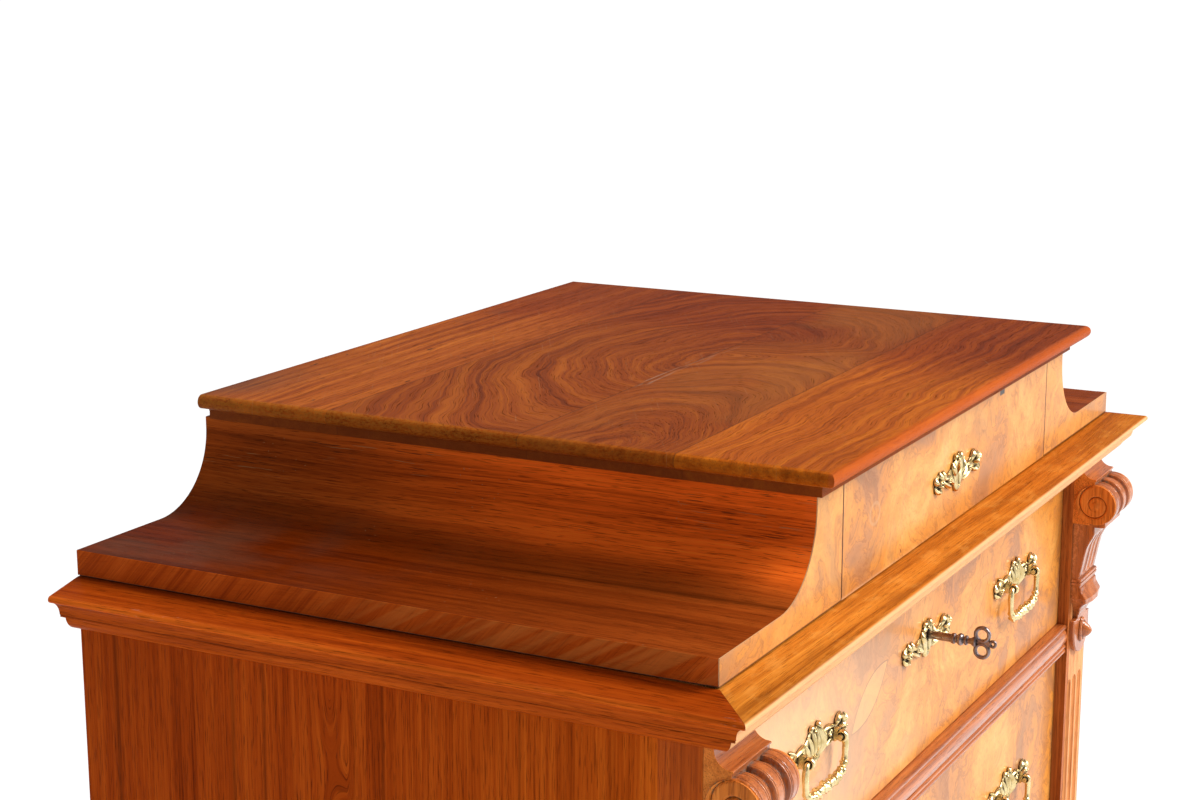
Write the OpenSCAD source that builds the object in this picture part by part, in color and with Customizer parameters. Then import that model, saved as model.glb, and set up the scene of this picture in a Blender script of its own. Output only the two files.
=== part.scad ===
// Tall chest of drawers: five long drawers under a small drawer in a raised, coved step.
// Millimetres, +Z up, floor at z = 0, X across, the front faces -Y.
// The modules draw with y = 0 on the front plane of the step. placed() moves them to the part's origin,
// which is under the middle of the whole object's box.

/* [Carcase] */
// Width over the side panels
body_w = 884; // [800:2:960]
// Depth from the front plane of the step to the back
body_d = 518; // [480:2:560]
// Height of the turned feet
foot_h = 90; // [84:1:96]
// Height of the plinth
plinth_h = 70; // [60:1:90]
// Width of a pilaster
pilaster_w = 60; // [56:1:64]
// How far the pilasters' front stands behind the front plane of the step
pilaster_set = 10.5; // [9:0.5:12]
// How far the long drawers' fronts stand behind the front plane of the step
drawer_set = 21; // [19:0.5:24]

/* [Drawers] */
// Height of the opening of the top long drawer
top_drawer_h = 160; // [156:1:180]
// Height of the opening of each lower long drawer
low_drawer_h = 186; // [180:1:200]
// Width of the small drawer in the step
step_drawer_w = 480; // [440:2:500]
// Gap round each drawer front
front_gap = 1; // [0.6:0.1:1.5]
// Width of a rail between two long drawers
rail_h = 29; // [28:1:32]

/* [Top] */
// Height of the cornice
cornice_h = 40; // [40:1:44]
// Height of the square ledge at the foot of the step
ledge_h = 20; // [16:1:24]
// Height of the step, from the cornice to the underside of the top slab
step_h = 88.6; // [86:0.2:100]
// Half width of the step above its coves
step_half_w = 286; // [270:1:300]
// Radius of the coves
cove_r = 60; // [50:1:60]
// Thickness of the top slab
slab_t = 21.4; // [21.4:0.1:24]

/* [Fittings] */
// Distance of the pulls from the middle of a long drawer
pull_x = 234; // [200:1:260]
// Half the distance between the two posts of a pull
post_x = 31; // [29:0.5:33]
// Half width of a bail, at the middle of its rod
bail_x = 37.2; // [37.2:0.1:39]
// Drop of a bail from its pivot to the middle of its lowest rod
bail_drop = 28.5; // [26:0.5:32]
// Radius of a bail's rod
bail_r = 2.6; // [2:0.1:2.8]
// Travel of a lock bolt
bolt_travel = 8; // [6:0.5:8]

/* [Hidden] */
DRAWERS = ["step_drawer", "drawer_1", "drawer_2", "drawer_3", "drawer_4", "drawer_5"];
DRAWER_PARTS = ["front", "box", "brasses", "lock_case", "lock_bolt"];
SIDES = ["left", "right"];
CASE = [
    "side_panel_left", "side_panel_right", "pilaster_left", "pilaster_right", "corbel_left",
    "corbel_right", "drawer_rails", "drawer_runners", "back_panel", "bottom_board", "carcase_top",
    "cornice", "step_side_left", "step_side_right", "step_fascias", "step_back", "top_slab",
    "plinth", "feet"
];
$fn = 64;

walnut = "#a4501f";
burl = "#d79a5b";
pine = "#c99a62";
gilt = "#c9a646";
iron = "#5b4a40";
eps = 0.01;

half_w = body_w / 2;
board_t = 22;
panel_t = 10;
stile_back = 43;
inner_x = half_w - board_t;
opening_x = half_w - pilaster_w;

// Heights, from the floor up
base_z = foot_h + plinth_h;
level_h = low_drawer_h + rail_h;
top_open_z = base_z + 4 * level_h + top_drawer_h;
deck_z = top_open_z + cornice_h;
slab_z = deck_z + step_h;

// A drawer's opening: 0 is the small one in the step, 1 to 5 the long ones from the top down
function open_z(i) = i == 0 ? deck_z : base_z + (5 - i) * level_h;
function open_h(i) = i == 0 ? step_h : i == 1 ? top_drawer_h : low_drawer_h;
function front_y(i) = i == 0 ? 0 : drawer_set;
function front_x(i) = (i == 0 ? step_drawer_w / 2 : opening_x) - front_gap;
function front_top(i) = open_z(i) + open_h(i) - front_gap;
function box_x(i) = i == 0 ? step_drawer_w / 2 - 8 : opening_x - 6;

// Fittings stand at set heights above the middle of a drawer's opening
key_up = 22.4;
post_up = 6;
plate_up = 11.5;
escutcheon_up = 17;
step_key_up = -0.3;
function middle_z(i) = open_z(i) + open_h(i) / 2;
function key_z(i) = middle_z(i) + (i == 0 ? step_key_up : key_up);

// Boards
front_t = 22;
side_t = 12;
bottom_t = 6;
bottom_up = 10;
box_back_y = 497;
shadow_gap = 1;
glue_gap = 0.1;
fascia_t = 9;
cornice_p = 33;
plinth_p = 16;
rail_back = 90;

// Lock and key
case_half_w = 35;
case_t = 12;
case_wall = 2;
case_below_key = 17;
bolt_half_w = 12;
bolt_t = 4;
bolt_tail_up = 13.6;
barrel_r = 3.4;
keyhole_r = 4.4;
bit_reach = 12.5;
bit_t = 2.6;
key_in = 19;
bow_r = 5.6;
bow_wire_r = 1.6;
bow_up = 6.8;
bow_out = 48;
knob_r = 2.6;
key_out = 60.3;

// Pulls
plate_t = 2.5;
pivot_out = 10;
pin_r = 2;
pin_play = 0.06;
post_half_t = 2.5;
shank_r = 2.5;

// The key's knob is the foremost point, so the box's middle lies between it and the back
centre_y = (body_d + drawer_set - key_out) / 2;

module placed() translate([0, -centre_y, 0]) children();

// Draws its children and their mirror image across X
module both_sides() {
    children();
    mirror([1, 0, 0]) children();
}

// A section drawn as (y, z), run across from x0 to x1
module run_x(x0, x1) translate([x0, 0, 0]) rotate([90, 0, 90]) linear_extrude(x1 - x0) children();

// A section drawn as (x, z), run back from y0 to y1
module run_y(y0, y1) translate([0, y1, 0]) rotate([90, 0, 0]) linear_extrude(y1 - y0) children();

// A box from its lowest to its highest corner
module block(low, high) translate(low) cube(high - low);

// ---- Carcase ----

module side_panel() color(walnut)
    block([inner_x, stile_back, foot_h], [half_w, body_d, deck_z]);

flute_r = 7;
flute_cut = 4;
flute_pitch = 17;
flute_low = base_z + 70;
flute_high = deck_z - 266;
pedestal_h = 50;
pedestal_p = 4;

module pilaster() color(walnut) {
    mid_x = half_w - pilaster_w / 2;
    difference() {
        union() {
            block([opening_x, pilaster_set, foot_h], [half_w, stile_back, deck_z]);
            block([opening_x, pilaster_set - pedestal_p, base_z], [half_w, stile_back, base_z + pedestal_h]);
        }
        for (k = [-1:1])
            translate([mid_x + k * flute_pitch, pilaster_set - flute_r + flute_cut, flute_low]) {
                cylinder(r = flute_r, h = flute_high - flute_low);
                sphere(flute_r);
                translate([0, 0, flute_high - flute_low]) sphere(flute_r);
            }
    }
}

// The corbel's outline from the side, as (y, z) below the deck: cap, volute, shaft and drop
volute_r = 20;
volute_y = -11;
volute_z = -75.5;
cushion_r = 9;

module corbel_head() {
    difference() {
        polygon([[pilaster_set, -40], [3, -40], [-9, -53], [-9, -58], [pilaster_set, -58]]);
        translate([-9, -41]) circle(12);
    }
    translate([-9, -58]) square([18, 6]);
    intersection() {
        translate([volute_y, volute_z]) circle(volute_r);
        translate([-40, -100]) square([40 + pilaster_set, 60]);
    }
    translate([-9, -80]) square([9 + pilaster_set, 25]);
}

module corbel_shaft() {
    polygon([
        [pilaster_set, -70], [-20, -80], [-20, -100], [-10, -101], [-10, -109],
        [-3.3, -122], [0.5, -141], [3.4, -156], [pilaster_set, -156]
    ]);
    intersection() {
        translate([6, -176]) circle(cushion_r);
        translate([-10, -190]) square([10 + pilaster_set, 30]);
    }
    translate([1, -171]) square([pilaster_set - 1, 18]);
}

module corbel() color(walnut) translate([half_w - pilaster_w / 2, 0, deck_z]) {
    head_w = pilaster_w;
    shaft_w = 54;
    tongue_w = 50;
    tongue_y = 6;
    tongue_top = -180;
    tongue_low = -240;
    boss_z = -216;
    run_x(-head_w / 2, head_w / 2) corbel_head();
    run_x(-shaft_w / 2, shaft_w / 2) corbel_shaft();
    run_y(tongue_y, pilaster_set) {
        translate([0, tongue_low + tongue_w / 2]) circle(tongue_w / 2);
        translate([-tongue_w / 2, tongue_low + tongue_w / 2])
            square([tongue_w, tongue_top - tongue_low - tongue_w / 2]);
    }
    translate([0, tongue_y + eps, boss_z]) rotate([90, 0, 0]) cylinder(r1 = 12, r2 = 4, h = 3.5);
}

// A rail's reeded front, as (y, z) above its underside: two small beads, a large torus and a bead
module reeds() {
    square_front = 14.5;
    translate([square_front, 0]) square([rail_back - square_front, rail_h]);
    translate([square_front - 0.5, 2.5]) circle(2.2);
    translate([square_front - 0.5, 7]) circle(2.2);
    translate([22.8, rail_h / 2 + 2]) circle(12);
    translate([square_front - 0.5, rail_h - 2.4]) circle(2.4);
}

// The pocket over a drawer, for its lock bolt
module bolt_mortise(i) {
    deep = bolt_travel + 3;
    play = 1;
    y0 = front_y(i) + front_t - case_t + (case_t - bolt_t) / 2;
    block(
        [-bolt_half_w - play, y0 - play, open_z(i) + open_h(i) - eps],
        [bolt_half_w + play, y0 + bolt_t + play, open_z(i) + open_h(i) + deep]
    );
}

module drawer_rails() color(walnut) {
    for (i = [1:4])
        difference() {
            intersection() {
                translate([0, 0, open_z(i) - rail_h]) run_x(-opening_x, opening_x) reeds();
                block(
                    [-opening_x, 0, open_z(i) - rail_h],
                    [opening_x, rail_back, open_z(i)]
                );
            }
            bolt_mortise(i + 1);
        }
    difference() {
        block([-opening_x, pilaster_set, top_open_z], [opening_x, rail_back, deck_z - board_t]);
        bolt_mortise(1);
    }
    block([-opening_x, pilaster_set, base_z - rail_h], [opening_x, stile_back, base_z]);
}

module drawer_runners() color(pine) {
    runner_w = 70;
    runner_h = 20;
    guide_h = 16;
    guide_play = 2;
    run_end = 504;
    stop_x = 200;
    stop_half_w = 18;
    stop_h = 5;
    stop_t = 12;
    both_sides() {
        for (i = [1:4])
            block(
                [inner_x - runner_w, rail_back, open_z(i) - runner_h],
                [inner_x, run_end, open_z(i)]
            );
        for (i = [1:5])
            block(
                [box_x(i) + guide_play, stile_back, open_z(i) + glue_gap],
                [inner_x, run_end, open_z(i) + guide_h]
            );
        block([box_x(0) + guide_play, front_t, deck_z], [box_x(0) + 24, 498, deck_z + guide_h]);
        for (i = [0:5]) {
            behind = front_y(i) + front_t;
            block(
                [stop_x - stop_half_w, behind, open_z(i)],
                [stop_x + stop_half_w, behind + stop_t, open_z(i) + stop_h]
            );
        }
    }
}

module back_panel() color(pine)
    block([-inner_x, body_d - 2 - panel_t, foot_h + 10], [inner_x, body_d - 2, deck_z - board_t]);

module bottom_board() color(pine)
    block([-inner_x, stile_back, base_z - 18], [inner_x, body_d - 2 - panel_t, base_z]);

module carcase_top() color(pine) {
    block([-inner_x, stile_back, deck_z - board_t], [inner_x, body_d, deck_z]);
    block([-opening_x, pilaster_set, deck_z - board_t], [opening_x, stile_back + eps, deck_z]);
}

// The cornice's outline, as (outward, up) from the carcase's corner: sloped top, nose, cove, fillet, ovolo
module cornice_profile(inward) {
    nose_r = 2.6;
    low = -cornice_h;
    difference() {
        polygon([[-inward, 0], [0, 0], [30.9, -6.5], [30.4, -11.6], [21, -22], [21, -25], [-inward, -25]]);
        translate([33, -23]) circle(11.3);
    }
    translate([cornice_p - nose_r, -9]) circle(nose_r);
    translate([-inward, -29]) square([inward + 15, 6]);
    intersection() {
        translate([3.5, -25.5]) circle(12.3);
        translate([-inward, low]) square([inward + 20, 20]);
    }
    translate([-inward, low]) square([inward + 1.2, 16]);
}

// A moulding mitred round the front and both sides; children(0) is its side outline, children(1) its front one
module mitred(reach, z0, z1) {
    far = reach + 1;
    both_sides()
        intersection() {
            translate([half_w, 0, 0]) run_y(-far, body_d) children(0);
            translate([0, glue_gap, z0]) linear_extrude(z1 - z0)
                polygon([
                    [half_w, 0], [half_w + far, -far],
                    [half_w + far, body_d], [half_w, body_d - glue_gap]
                ]);
        }
    intersection() {
        mirror([0, 1, 0]) run_x(-half_w - far, half_w + far) children(1);
        translate([0, 0, z0]) linear_extrude(z1 - z0)
            polygon([
                [half_w, 0], [half_w + far, -far], [-half_w - far, -far], [-half_w, 0],
                [-half_w + glue_gap, pilaster_set], [half_w - glue_gap, pilaster_set]
            ]);
    }
}

module cornice() color(walnut)
    mitred(cornice_p, top_open_z, deck_z) {
        translate([0, deck_z]) cornice_profile(0);
        translate([0, deck_z]) cornice_profile(pilaster_set);
    }

module plinth_profile(inward) {
    cove = 12;
    difference() {
        translate([-inward, foot_h]) square([inward + plinth_p, plinth_h]);
        translate([plinth_p, base_z]) circle(cove);
    }
}

module plinth() color(walnut)
    mitred(plinth_p, foot_h, base_z) {
        plinth_profile(0);
        plinth_profile(pilaster_set);
    }

module foot() {
    rotate_extrude()
        intersection() {
            union() {
                square([30, 24]);
                translate([18, 44]) circle(28);
                translate([0, 60]) square([32, foot_h - 60]);
                translate([0, foot_h - 9]) square([37, 9]);
            }
            square([60, foot_h]);
        }
}

// Four turned feet, each under a corner block: its distance back, and where its block starts
module feet() color(walnut) {
    foot_x = half_w - 46;
    block_w = 60;
    for (place = [[54, stile_back], [466, body_d - 2 - panel_t - block_w]])
        both_sides() {
            translate([foot_x, place[0], 0]) foot();
            block(
                [inner_x - block_w, place[1], foot_h + glue_gap],
                [inner_x, place[1] + block_w, base_z - 18]
            );
        }
}

// ---- Step ----

// What the cove takes away, as (x, z) above the deck
module cove_space() {
    centre = [step_half_w + cove_r, ledge_h + cove_r];
    translate(centre) circle(cove_r, $fn = 128);
    translate([centre[0], ledge_h]) square([half_w, step_h]);
    translate([step_half_w, centre[1]]) square([half_w, step_h]);
}

module step_side() color(walnut)
    translate([0, 0, deck_z]) run_y(fascia_t, body_d)
        difference() {
            translate([step_half_w - board_t, 0]) square([half_w - step_half_w + board_t, step_h]);
            cove_space();
            translate([half_w - 2, -1]) square([3, 1 + shadow_gap]);
        }

module step_fascias() color(burl)
    both_sides()
        translate([0, 0, deck_z]) run_y(0, fascia_t)
            difference() {
                translate([step_drawer_w / 2, shadow_gap])
                    square([half_w - step_drawer_w / 2, step_h - shadow_gap]);
                cove_space();
            }

module step_back() color(pine)
    block([-step_half_w + board_t, 500, deck_z], [step_half_w - board_t, 512, slab_z]);

// The slab's moulded edge, as (outward, up) from the face of the step: fillet, small cove and round nose
slab_nose_r = 5.65;
slab_p = 19.4;

module slab_edge(inward) {
    fillet_h = 6.4;
    cove = 3.7;
    nose_z = slab_t - slab_nose_r;
    translate([-inward, 0]) square([inward + 5, fillet_h + eps]);
    difference() {
        translate([-inward, fillet_h]) square([inward + 9, cove + eps]);
        translate([9, fillet_h]) circle(cove);
    }
    translate([-inward, nose_z - slab_nose_r]) square([inward + slab_p - slab_nose_r, 2 * slab_nose_r]);
    translate([slab_p - slab_nose_r, nose_z]) circle(slab_nose_r);
}

module top_slab() color(walnut) {
    slab_back = 510;
    difference() {
        intersection() {
            translate([0, 0, slab_z]) run_y(-slab_p - 1, slab_back) {
                translate([step_half_w, 0]) slab_edge(step_half_w);
                mirror([1, 0]) translate([step_half_w, 0]) slab_edge(step_half_w);
            }
            mirror([0, 1, 0]) translate([0, 0, slab_z])
                run_x(-step_half_w - slab_p - 1, step_half_w + slab_p + 1) slab_edge(slab_back);
        }
        bolt_mortise(0);
    }
}

// ---- Drawers ----

// A keyhole through a plate that lies from y0 to y1: a round hole with a slit below for the bit
module keyhole(i, y0, y1, r) {
    translate([0, y1, key_z(i)]) rotate([90, 0, 0]) cylinder(r = r, h = y1 - y0);
    block([-bit_t / 2 - 0.4, y0, key_z(i) - bit_reach - 0.8], [bit_t / 2 + 0.4, y1, key_z(i)]);
}

// The space that the lock case takes, from its low front corner to the top edge of the front
function case_low(i) = [-case_half_w, front_y(i) + front_t - case_t, key_z(i) - case_below_key];
function case_high(i) = [case_half_w, front_y(i) + front_t, front_top(i)];

// The posts of a long drawer's two pulls, as (x, z)
function posts(i) = [for (s = [-1, 1]) for (t = [-1, 1]) [s * pull_x + t * post_x, middle_z(i) + post_up]];

module drawer_front(i) color(burl)
    difference() {
        block(
            [-front_x(i), front_y(i), open_z(i) + front_gap],
            [front_x(i), front_y(i) + front_t, front_top(i)]
        );
        block(case_low(i), case_high(i) + [0, eps, eps]);
        keyhole(i, front_y(i) - eps, front_y(i) + front_t - case_t + eps, keyhole_r);
        if (i > 0)
            for (p = posts(i))
                translate([p[0], front_y(i) + front_t + eps, p[1]])
                    rotate([90, 0, 0]) cylinder(r = shank_r + 0.2, h = front_t + 2 * eps);
    }

// Two sides, the back and the bottom, each a board of its own with a glue line between
module drawer_box(i) color(pine) {
    x = box_x(i);
    inside = x - side_t - glue_gap;
    y0 = front_y(i) + front_t;
    back_y = box_back_y - side_t;
    z0 = open_z(i) + 0.5;
    z1 = open_z(i) + open_h(i) - 18;
    both_sides() block([x - side_t, y0, z0], [x, box_back_y, z1]);
    block([-inside, back_y, z0 + bottom_up], [inside, box_back_y, z1 - 6]);
    block([-inside, y0, z0 + bottom_up], [inside, back_y - glue_gap, z0 + bottom_up + bottom_t]);
}

// Outline of a cast back plate or escutcheon: a middle lobe, two side lobes and two leaf tips
module lobed(middle_r, lobe_r, tip_r, half_length) {
    circle(middle_r);
    for (s = [-1, 1]) {
        translate([s * half_length * 0.55, 0]) circle(lobe_r);
        translate([s * (half_length - tip_r), 0]) circle(tip_r);
    }
    square([2 * (half_length - tip_r), 1.4 * tip_r], center = true);
}

// A post of a pull: an eye that the bail's pin turns in, its stem, the shank through the front and a nut
module post(y) {
    difference() {
        union() {
            translate([-post_half_t, y - pivot_out, 0]) rotate([0, 90, 0]) cylinder(r = 4.6, h = 2 * post_half_t);
            translate([0, y, 0]) rotate([90, 0, 0]) cylinder(r = 3, h = pivot_out - 3);
        }
        translate([-6, y - pivot_out, 0]) rotate([0, 90, 0]) cylinder(r = pin_r + pin_play, h = 12);
    }
    translate([0, y + front_t + 4.5, 0]) rotate([90, 0, 0]) cylinder(r = shank_r, h = front_t + 4.5 + eps);
}

module nut(y) {
    nut_w = 9;
    translate([0, y + front_t, 0])
        difference() {
            translate([-nut_w / 2, 0, -nut_w / 2]) cube([nut_w, 3.5, nut_w]);
            translate([0, 4, 0]) rotate([90, 0, 0]) cylinder(r = shank_r + 0.05, h = 5);
        }
}

module drawer_brasses(i) color(gilt) {
    y = front_y(i);
    escutcheon_half = i == 0 ? 56 : 58;
    up = i == 0 ? step_key_up - 4 : escutcheon_up;
    difference() {
        translate([0, 0, middle_z(i) + up]) run_y(y - plate_t, y)
            lobed(i == 0 ? 16 : 18, 11, 7, escutcheon_half);
        keyhole(i, y - plate_t - eps, y + eps, keyhole_r);
    }
    if (i > 0) {
        for (s = [-1, 1])
            difference() {
                translate([s * pull_x, 0, middle_z(i) + plate_up])
                    run_y(y - plate_t, y) lobed(15.5, 10, 7, 59);
                for (p = posts(i))
                    translate([p[0], y + eps, p[1]]) rotate([90, 0, 0]) cylinder(r = 3.05, h = plate_t + 2 * eps);
            }
        for (p = posts(i))
            translate([p[0], 0, p[1]]) {
                post(y);
                nut(y);
            }
    }
}

module lock_case(i) color(iron) {
    low = case_low(i);
    high = case_high(i);
    wall = [case_wall, case_wall, case_wall];
    slot_play = 0.3;
    slot_y = low[1] + (case_t - bolt_t) / 2;
    difference() {
        block(low, high);
        block(low + wall, high - wall);
        block(
            [-bolt_half_w - slot_play, slot_y - slot_play, high[2] - case_wall - eps],
            [bolt_half_w + slot_play, slot_y + bolt_t + slot_play, high[2] + eps]
        );
        keyhole(i, low[1] - eps, low[1] + case_wall + eps, keyhole_r);
    }
}

module lock_bolt(i) color(gilt) {
    tail_half_w = 20;
    tail_h = 8;
    y0 = case_low(i)[1] + (case_t - bolt_t) / 2;
    z0 = key_z(i) + bolt_tail_up;
    block([-bolt_half_w, y0, z0], [bolt_half_w, y0 + bolt_t, front_top(i) - 0.3]);
    block([-tail_half_w, y0, z0], [tail_half_w, y0 + bolt_t, z0 + tail_h]);
}

// ---- Bails and key ----

// A bail's corners: small ones at its pins and large ones below
pin_past_post = 5;
bail_top_r = 3;
bail_low_r = 13;

// The right end of a bail, with its pivot at z = 0: pin, small corner, side and large corner
module bail_end() {
    corner_x = bail_x - bail_top_r;
    side_h = bail_drop - bail_top_r - bail_low_r;
    translate([post_x - pin_past_post, 0, 0]) rotate([0, 90, 0])
        cylinder(r = pin_r, h = corner_x - post_x + pin_past_post);
    translate([corner_x, 0, -bail_top_r]) rotate([90, 0, 0]) rotate_extrude(angle = 90)
        translate([bail_top_r, 0]) circle(bail_r);
    translate([bail_x, 0, -bail_top_r - side_h]) cylinder(r = bail_r, h = side_h);
    translate([bail_x - bail_low_r, 0, -bail_top_r - side_h]) rotate([-90, 0, 0]) rotate_extrude(angle = 90)
        translate([bail_low_r, 0]) circle(bail_r);
}

module bail(i, side) color(gilt)
    translate([side * pull_x, front_y(i) - pivot_out, middle_z(i) + post_up]) {
        base_half = bail_x - bail_low_r;
        both_sides() bail_end();
        translate([-base_half, 0, -bail_drop]) rotate([0, 90, 0]) cylinder(r = bail_r, h = 2 * base_half);
    }

// The key lies along y with its bit down: turned barrel and collars, two round loops, and a knob at the end
module key() color(iron) {
    translate([0, front_y(1), key_z(1)]) {
        rotate([90, 0, 0]) translate([0, 0, -key_in]) rotate_extrude() {
            translate([0, 0]) square([barrel_r, key_in + 36]);
            translate([0, key_in + 22.7]) square([4.4, 3]);
            translate([0, key_in + 28.4]) square([4.8, 3.2]);
            translate([0, key_in + 33.4]) square([4.2, 2.6]);
            translate([0, key_in + 36 - eps]) square([2.4, 8]);
        }
        block([-bit_t / 2, key_in - 6, -bit_reach], [bit_t / 2, key_in - 0.6, 0]);
        for (s = [-1, 1])
            translate([0, -bow_out, s * bow_up]) rotate([0, 90, 0]) rotate_extrude()
                translate([bow_r, 0]) circle(bow_wire_r);
        translate([0, -bow_out + bow_r, 0]) rotate([90, 0, 0]) cylinder(r = 1.8, h = 2 * bow_r);
        translate([0, -bow_out - bow_r + 1, 0]) rotate([90, 0, 0]) cylinder(r = 1.8, h = 5);
        translate([0, -key_out + knob_r, 0]) sphere(knob_r);
    }
}

// ---- Assembly ----

placed() {
    mirror([1, 0, 0]) side_panel();  // side_panel_left
    side_panel();  // side_panel_right
    mirror([1, 0, 0]) pilaster();  // pilaster_left
    pilaster();  // pilaster_right
    mirror([1, 0, 0]) corbel();  // corbel_left
    corbel();  // corbel_right
    drawer_rails();
    drawer_runners();
    back_panel();
    bottom_board();
    carcase_top();
    cornice();
    mirror([1, 0, 0]) step_side();  // step_side_left
    step_side();  // step_side_right
    step_fascias();
    step_back();
    top_slab();
    plinth();
    feet();
    for (i = [0:5]) {
        drawer_front(i);
        drawer_box(i);
        drawer_brasses(i);
        lock_case(i);
        lock_bolt(i);
    }
    for (i = [1:5]) {
        bail(i, -1);
        bail(i, 1);
    }
    key();
}
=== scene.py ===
"""Tall chest of drawers: polished walnut, gilt brass and iron, with the carved and cast pieces in full."""

import math

import bpy
import numpy as np
from mathutils import Euler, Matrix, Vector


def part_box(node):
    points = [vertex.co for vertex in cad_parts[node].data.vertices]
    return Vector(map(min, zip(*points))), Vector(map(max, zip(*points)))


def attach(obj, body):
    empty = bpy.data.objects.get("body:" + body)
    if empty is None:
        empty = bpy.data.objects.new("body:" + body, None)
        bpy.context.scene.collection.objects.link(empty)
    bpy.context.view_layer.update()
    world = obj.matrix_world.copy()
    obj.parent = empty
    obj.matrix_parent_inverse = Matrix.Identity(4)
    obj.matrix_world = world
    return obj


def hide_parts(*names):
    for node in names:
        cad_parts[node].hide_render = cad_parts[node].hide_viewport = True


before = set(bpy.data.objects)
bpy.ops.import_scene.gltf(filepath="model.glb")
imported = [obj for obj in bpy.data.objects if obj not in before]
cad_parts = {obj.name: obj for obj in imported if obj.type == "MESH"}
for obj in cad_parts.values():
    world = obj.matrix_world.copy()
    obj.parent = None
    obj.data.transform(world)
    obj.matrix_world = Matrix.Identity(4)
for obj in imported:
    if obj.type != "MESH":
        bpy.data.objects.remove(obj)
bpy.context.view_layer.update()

MM = 0.001


# ---- Skins ----

def arc(across, up, r, start, end, steps=10):
    """Points on a circle of radius r round (across, up), between two angles in degrees."""
    t = np.radians(np.linspace(start, end, steps + 1))
    return np.stack([across + r * np.cos(t), up + r * np.sin(t)], 1)


def whole_turn(steps):
    return np.linspace(0, 2 * np.pi, steps, endpoint=False)


def outline(*runs):
    """One outline from points and arcs in order, without repeated points."""
    points = np.vstack([np.atleast_2d(np.asarray(r, float)) for r in runs])
    apart = np.linalg.norm(points - np.roll(points, 1, 0), axis=1) > 0.01
    return points[apart]


def softened(points, r=0.5, steps=3, guard=1.6):
    """Each sharp corner becomes a quadratic curve from r before it to r after it. One more point stands a little way
    along each long side, so that wear stored at the corner ends there."""
    before, after = np.roll(points, 1, 0) - points, np.roll(points, -1, 0) - points
    far_a, far_b = np.linalg.norm(before, axis=1), np.linalg.norm(after, axis=1)
    before, after = before / far_a[:, None], after / far_b[:, None]
    sharp = (before * after).sum(1) > -0.9
    cut = np.minimum(r, 0.3 * np.minimum(far_a, far_b))[:, None]
    a, b = points + before * cut, points + after * cut
    out = []
    for k, is_sharp in enumerate(sharp):
        if not is_sharp:
            out.append(points[k][None])
            continue
        t = np.linspace(0, 1, steps + 1)[:, None]
        if far_a[k] > 3 * guard:
            out.append((a[k] + before[k] * guard)[None])
        out.append((1 - t) ** 2 * a[k] + 2 * t * (1 - t) * points[k] + t ** 2 * b[k])
        if far_b[k] > 3 * guard:
            out.append((b[k] + after[k] * guard)[None])
    return np.vstack(out)


def skin(grid, loop=False, hollow=False, offset=(0, 0, 0), grain="xyz"):
    """A closed skin: each row of the grid is a ring, and the two end rings are lids. With loop the rows form a ring of
    open strips, whose two sides are the lids; with hollow both directions close. Faces are turned outwards by the sign
    of the volume, a sum of triple products. The grain is the place in mm, its axes put in grain's order."""
    rows, cols = grid.shape[:2]
    index = np.arange(rows * cols).reshape(rows, cols)
    lids = [index[0][::-1], index[-1]]
    if loop:
        lids = [index[:, 0], index[:, -1][::-1]]
    if loop or hollow:
        index = np.vstack([index, index[:1]])
    if not loop:
        index = np.hstack([index, index[:, :1]])
    if hollow:
        lids = []
    quads = np.stack([index[:-1, :-1], index[:-1, 1:], index[1:, 1:], index[1:, :-1]], -1).reshape(-1, 4)
    points = grid.reshape(-1, 3).astype(float)
    middle = points - points.mean(0)
    volume = 0
    for face in (quads, *[lid[None] for lid in lids]):
        for k in range(1, face.shape[1] - 1):
            volume += (middle[face[:, 0]] * np.cross(middle[face[:, k]], middle[face[:, k + 1]])).sum()
    if volume < 0:
        quads, lids = quads[:, ::-1], [lid[::-1] for lid in lids]
    order = ["xyz".index(letter) for letter in grain]
    return {"points": points, "quads": quads, "lids": lids, "grain": points[:, order] + np.asarray(offset, float),
            "convex": convexity(points, quads)}


def convexity(points, quads):
    """How far each point stands out: the mean over its edges of how steeply they fall from it."""
    corners = points[quads]
    normal = np.cross(corners[:, 2] - corners[:, 0], corners[:, 3] - corners[:, 1])
    normals = np.zeros_like(points)
    for k in range(4):
        np.add.at(normals, quads[:, k], normal)
    normals /= np.maximum(np.linalg.norm(normals, axis=1), 1e-9)[:, None]
    total, count = np.zeros(len(points)), np.zeros(len(points))
    for k in range(4):
        a, b = quads[:, k], quads[:, (k + 1) % 4]
        along = points[b] - points[a]
        along /= np.maximum(np.linalg.norm(along, axis=1), 1e-9)[:, None]
        np.add.at(total, a, -(normals[a] * along).sum(1))
        np.add.at(total, b, (normals[b] * along).sum(1))
        np.add.at(count, a, 1)
        np.add.at(count, b, 1)
    return total / np.maximum(count, 1)


def moved(skins, by):
    """Copies of skins, moved in mm."""
    by = np.asarray(by, float)
    return [old | {"points": old["points"] + by, "grain": old["grain"] + by[[2, 0, 1]]} for old in skins]


def facing(across, out, up, hollow=False):
    """The skin of a grid given across, outwards from a front and up."""
    return skin(np.stack(np.broadcast_arrays(across, -out, up), -1), hollow=hollow, grain="zxy")


def normals(line):
    """A flat line's unit normals, a quarter turn anticlockwise from its direction."""
    ahead = np.gradient(line, axis=0)
    ahead /= np.linalg.norm(ahead, axis=1)[:, None]
    return np.stack([-ahead[:, 1], ahead[:, 0]], -1)


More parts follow.
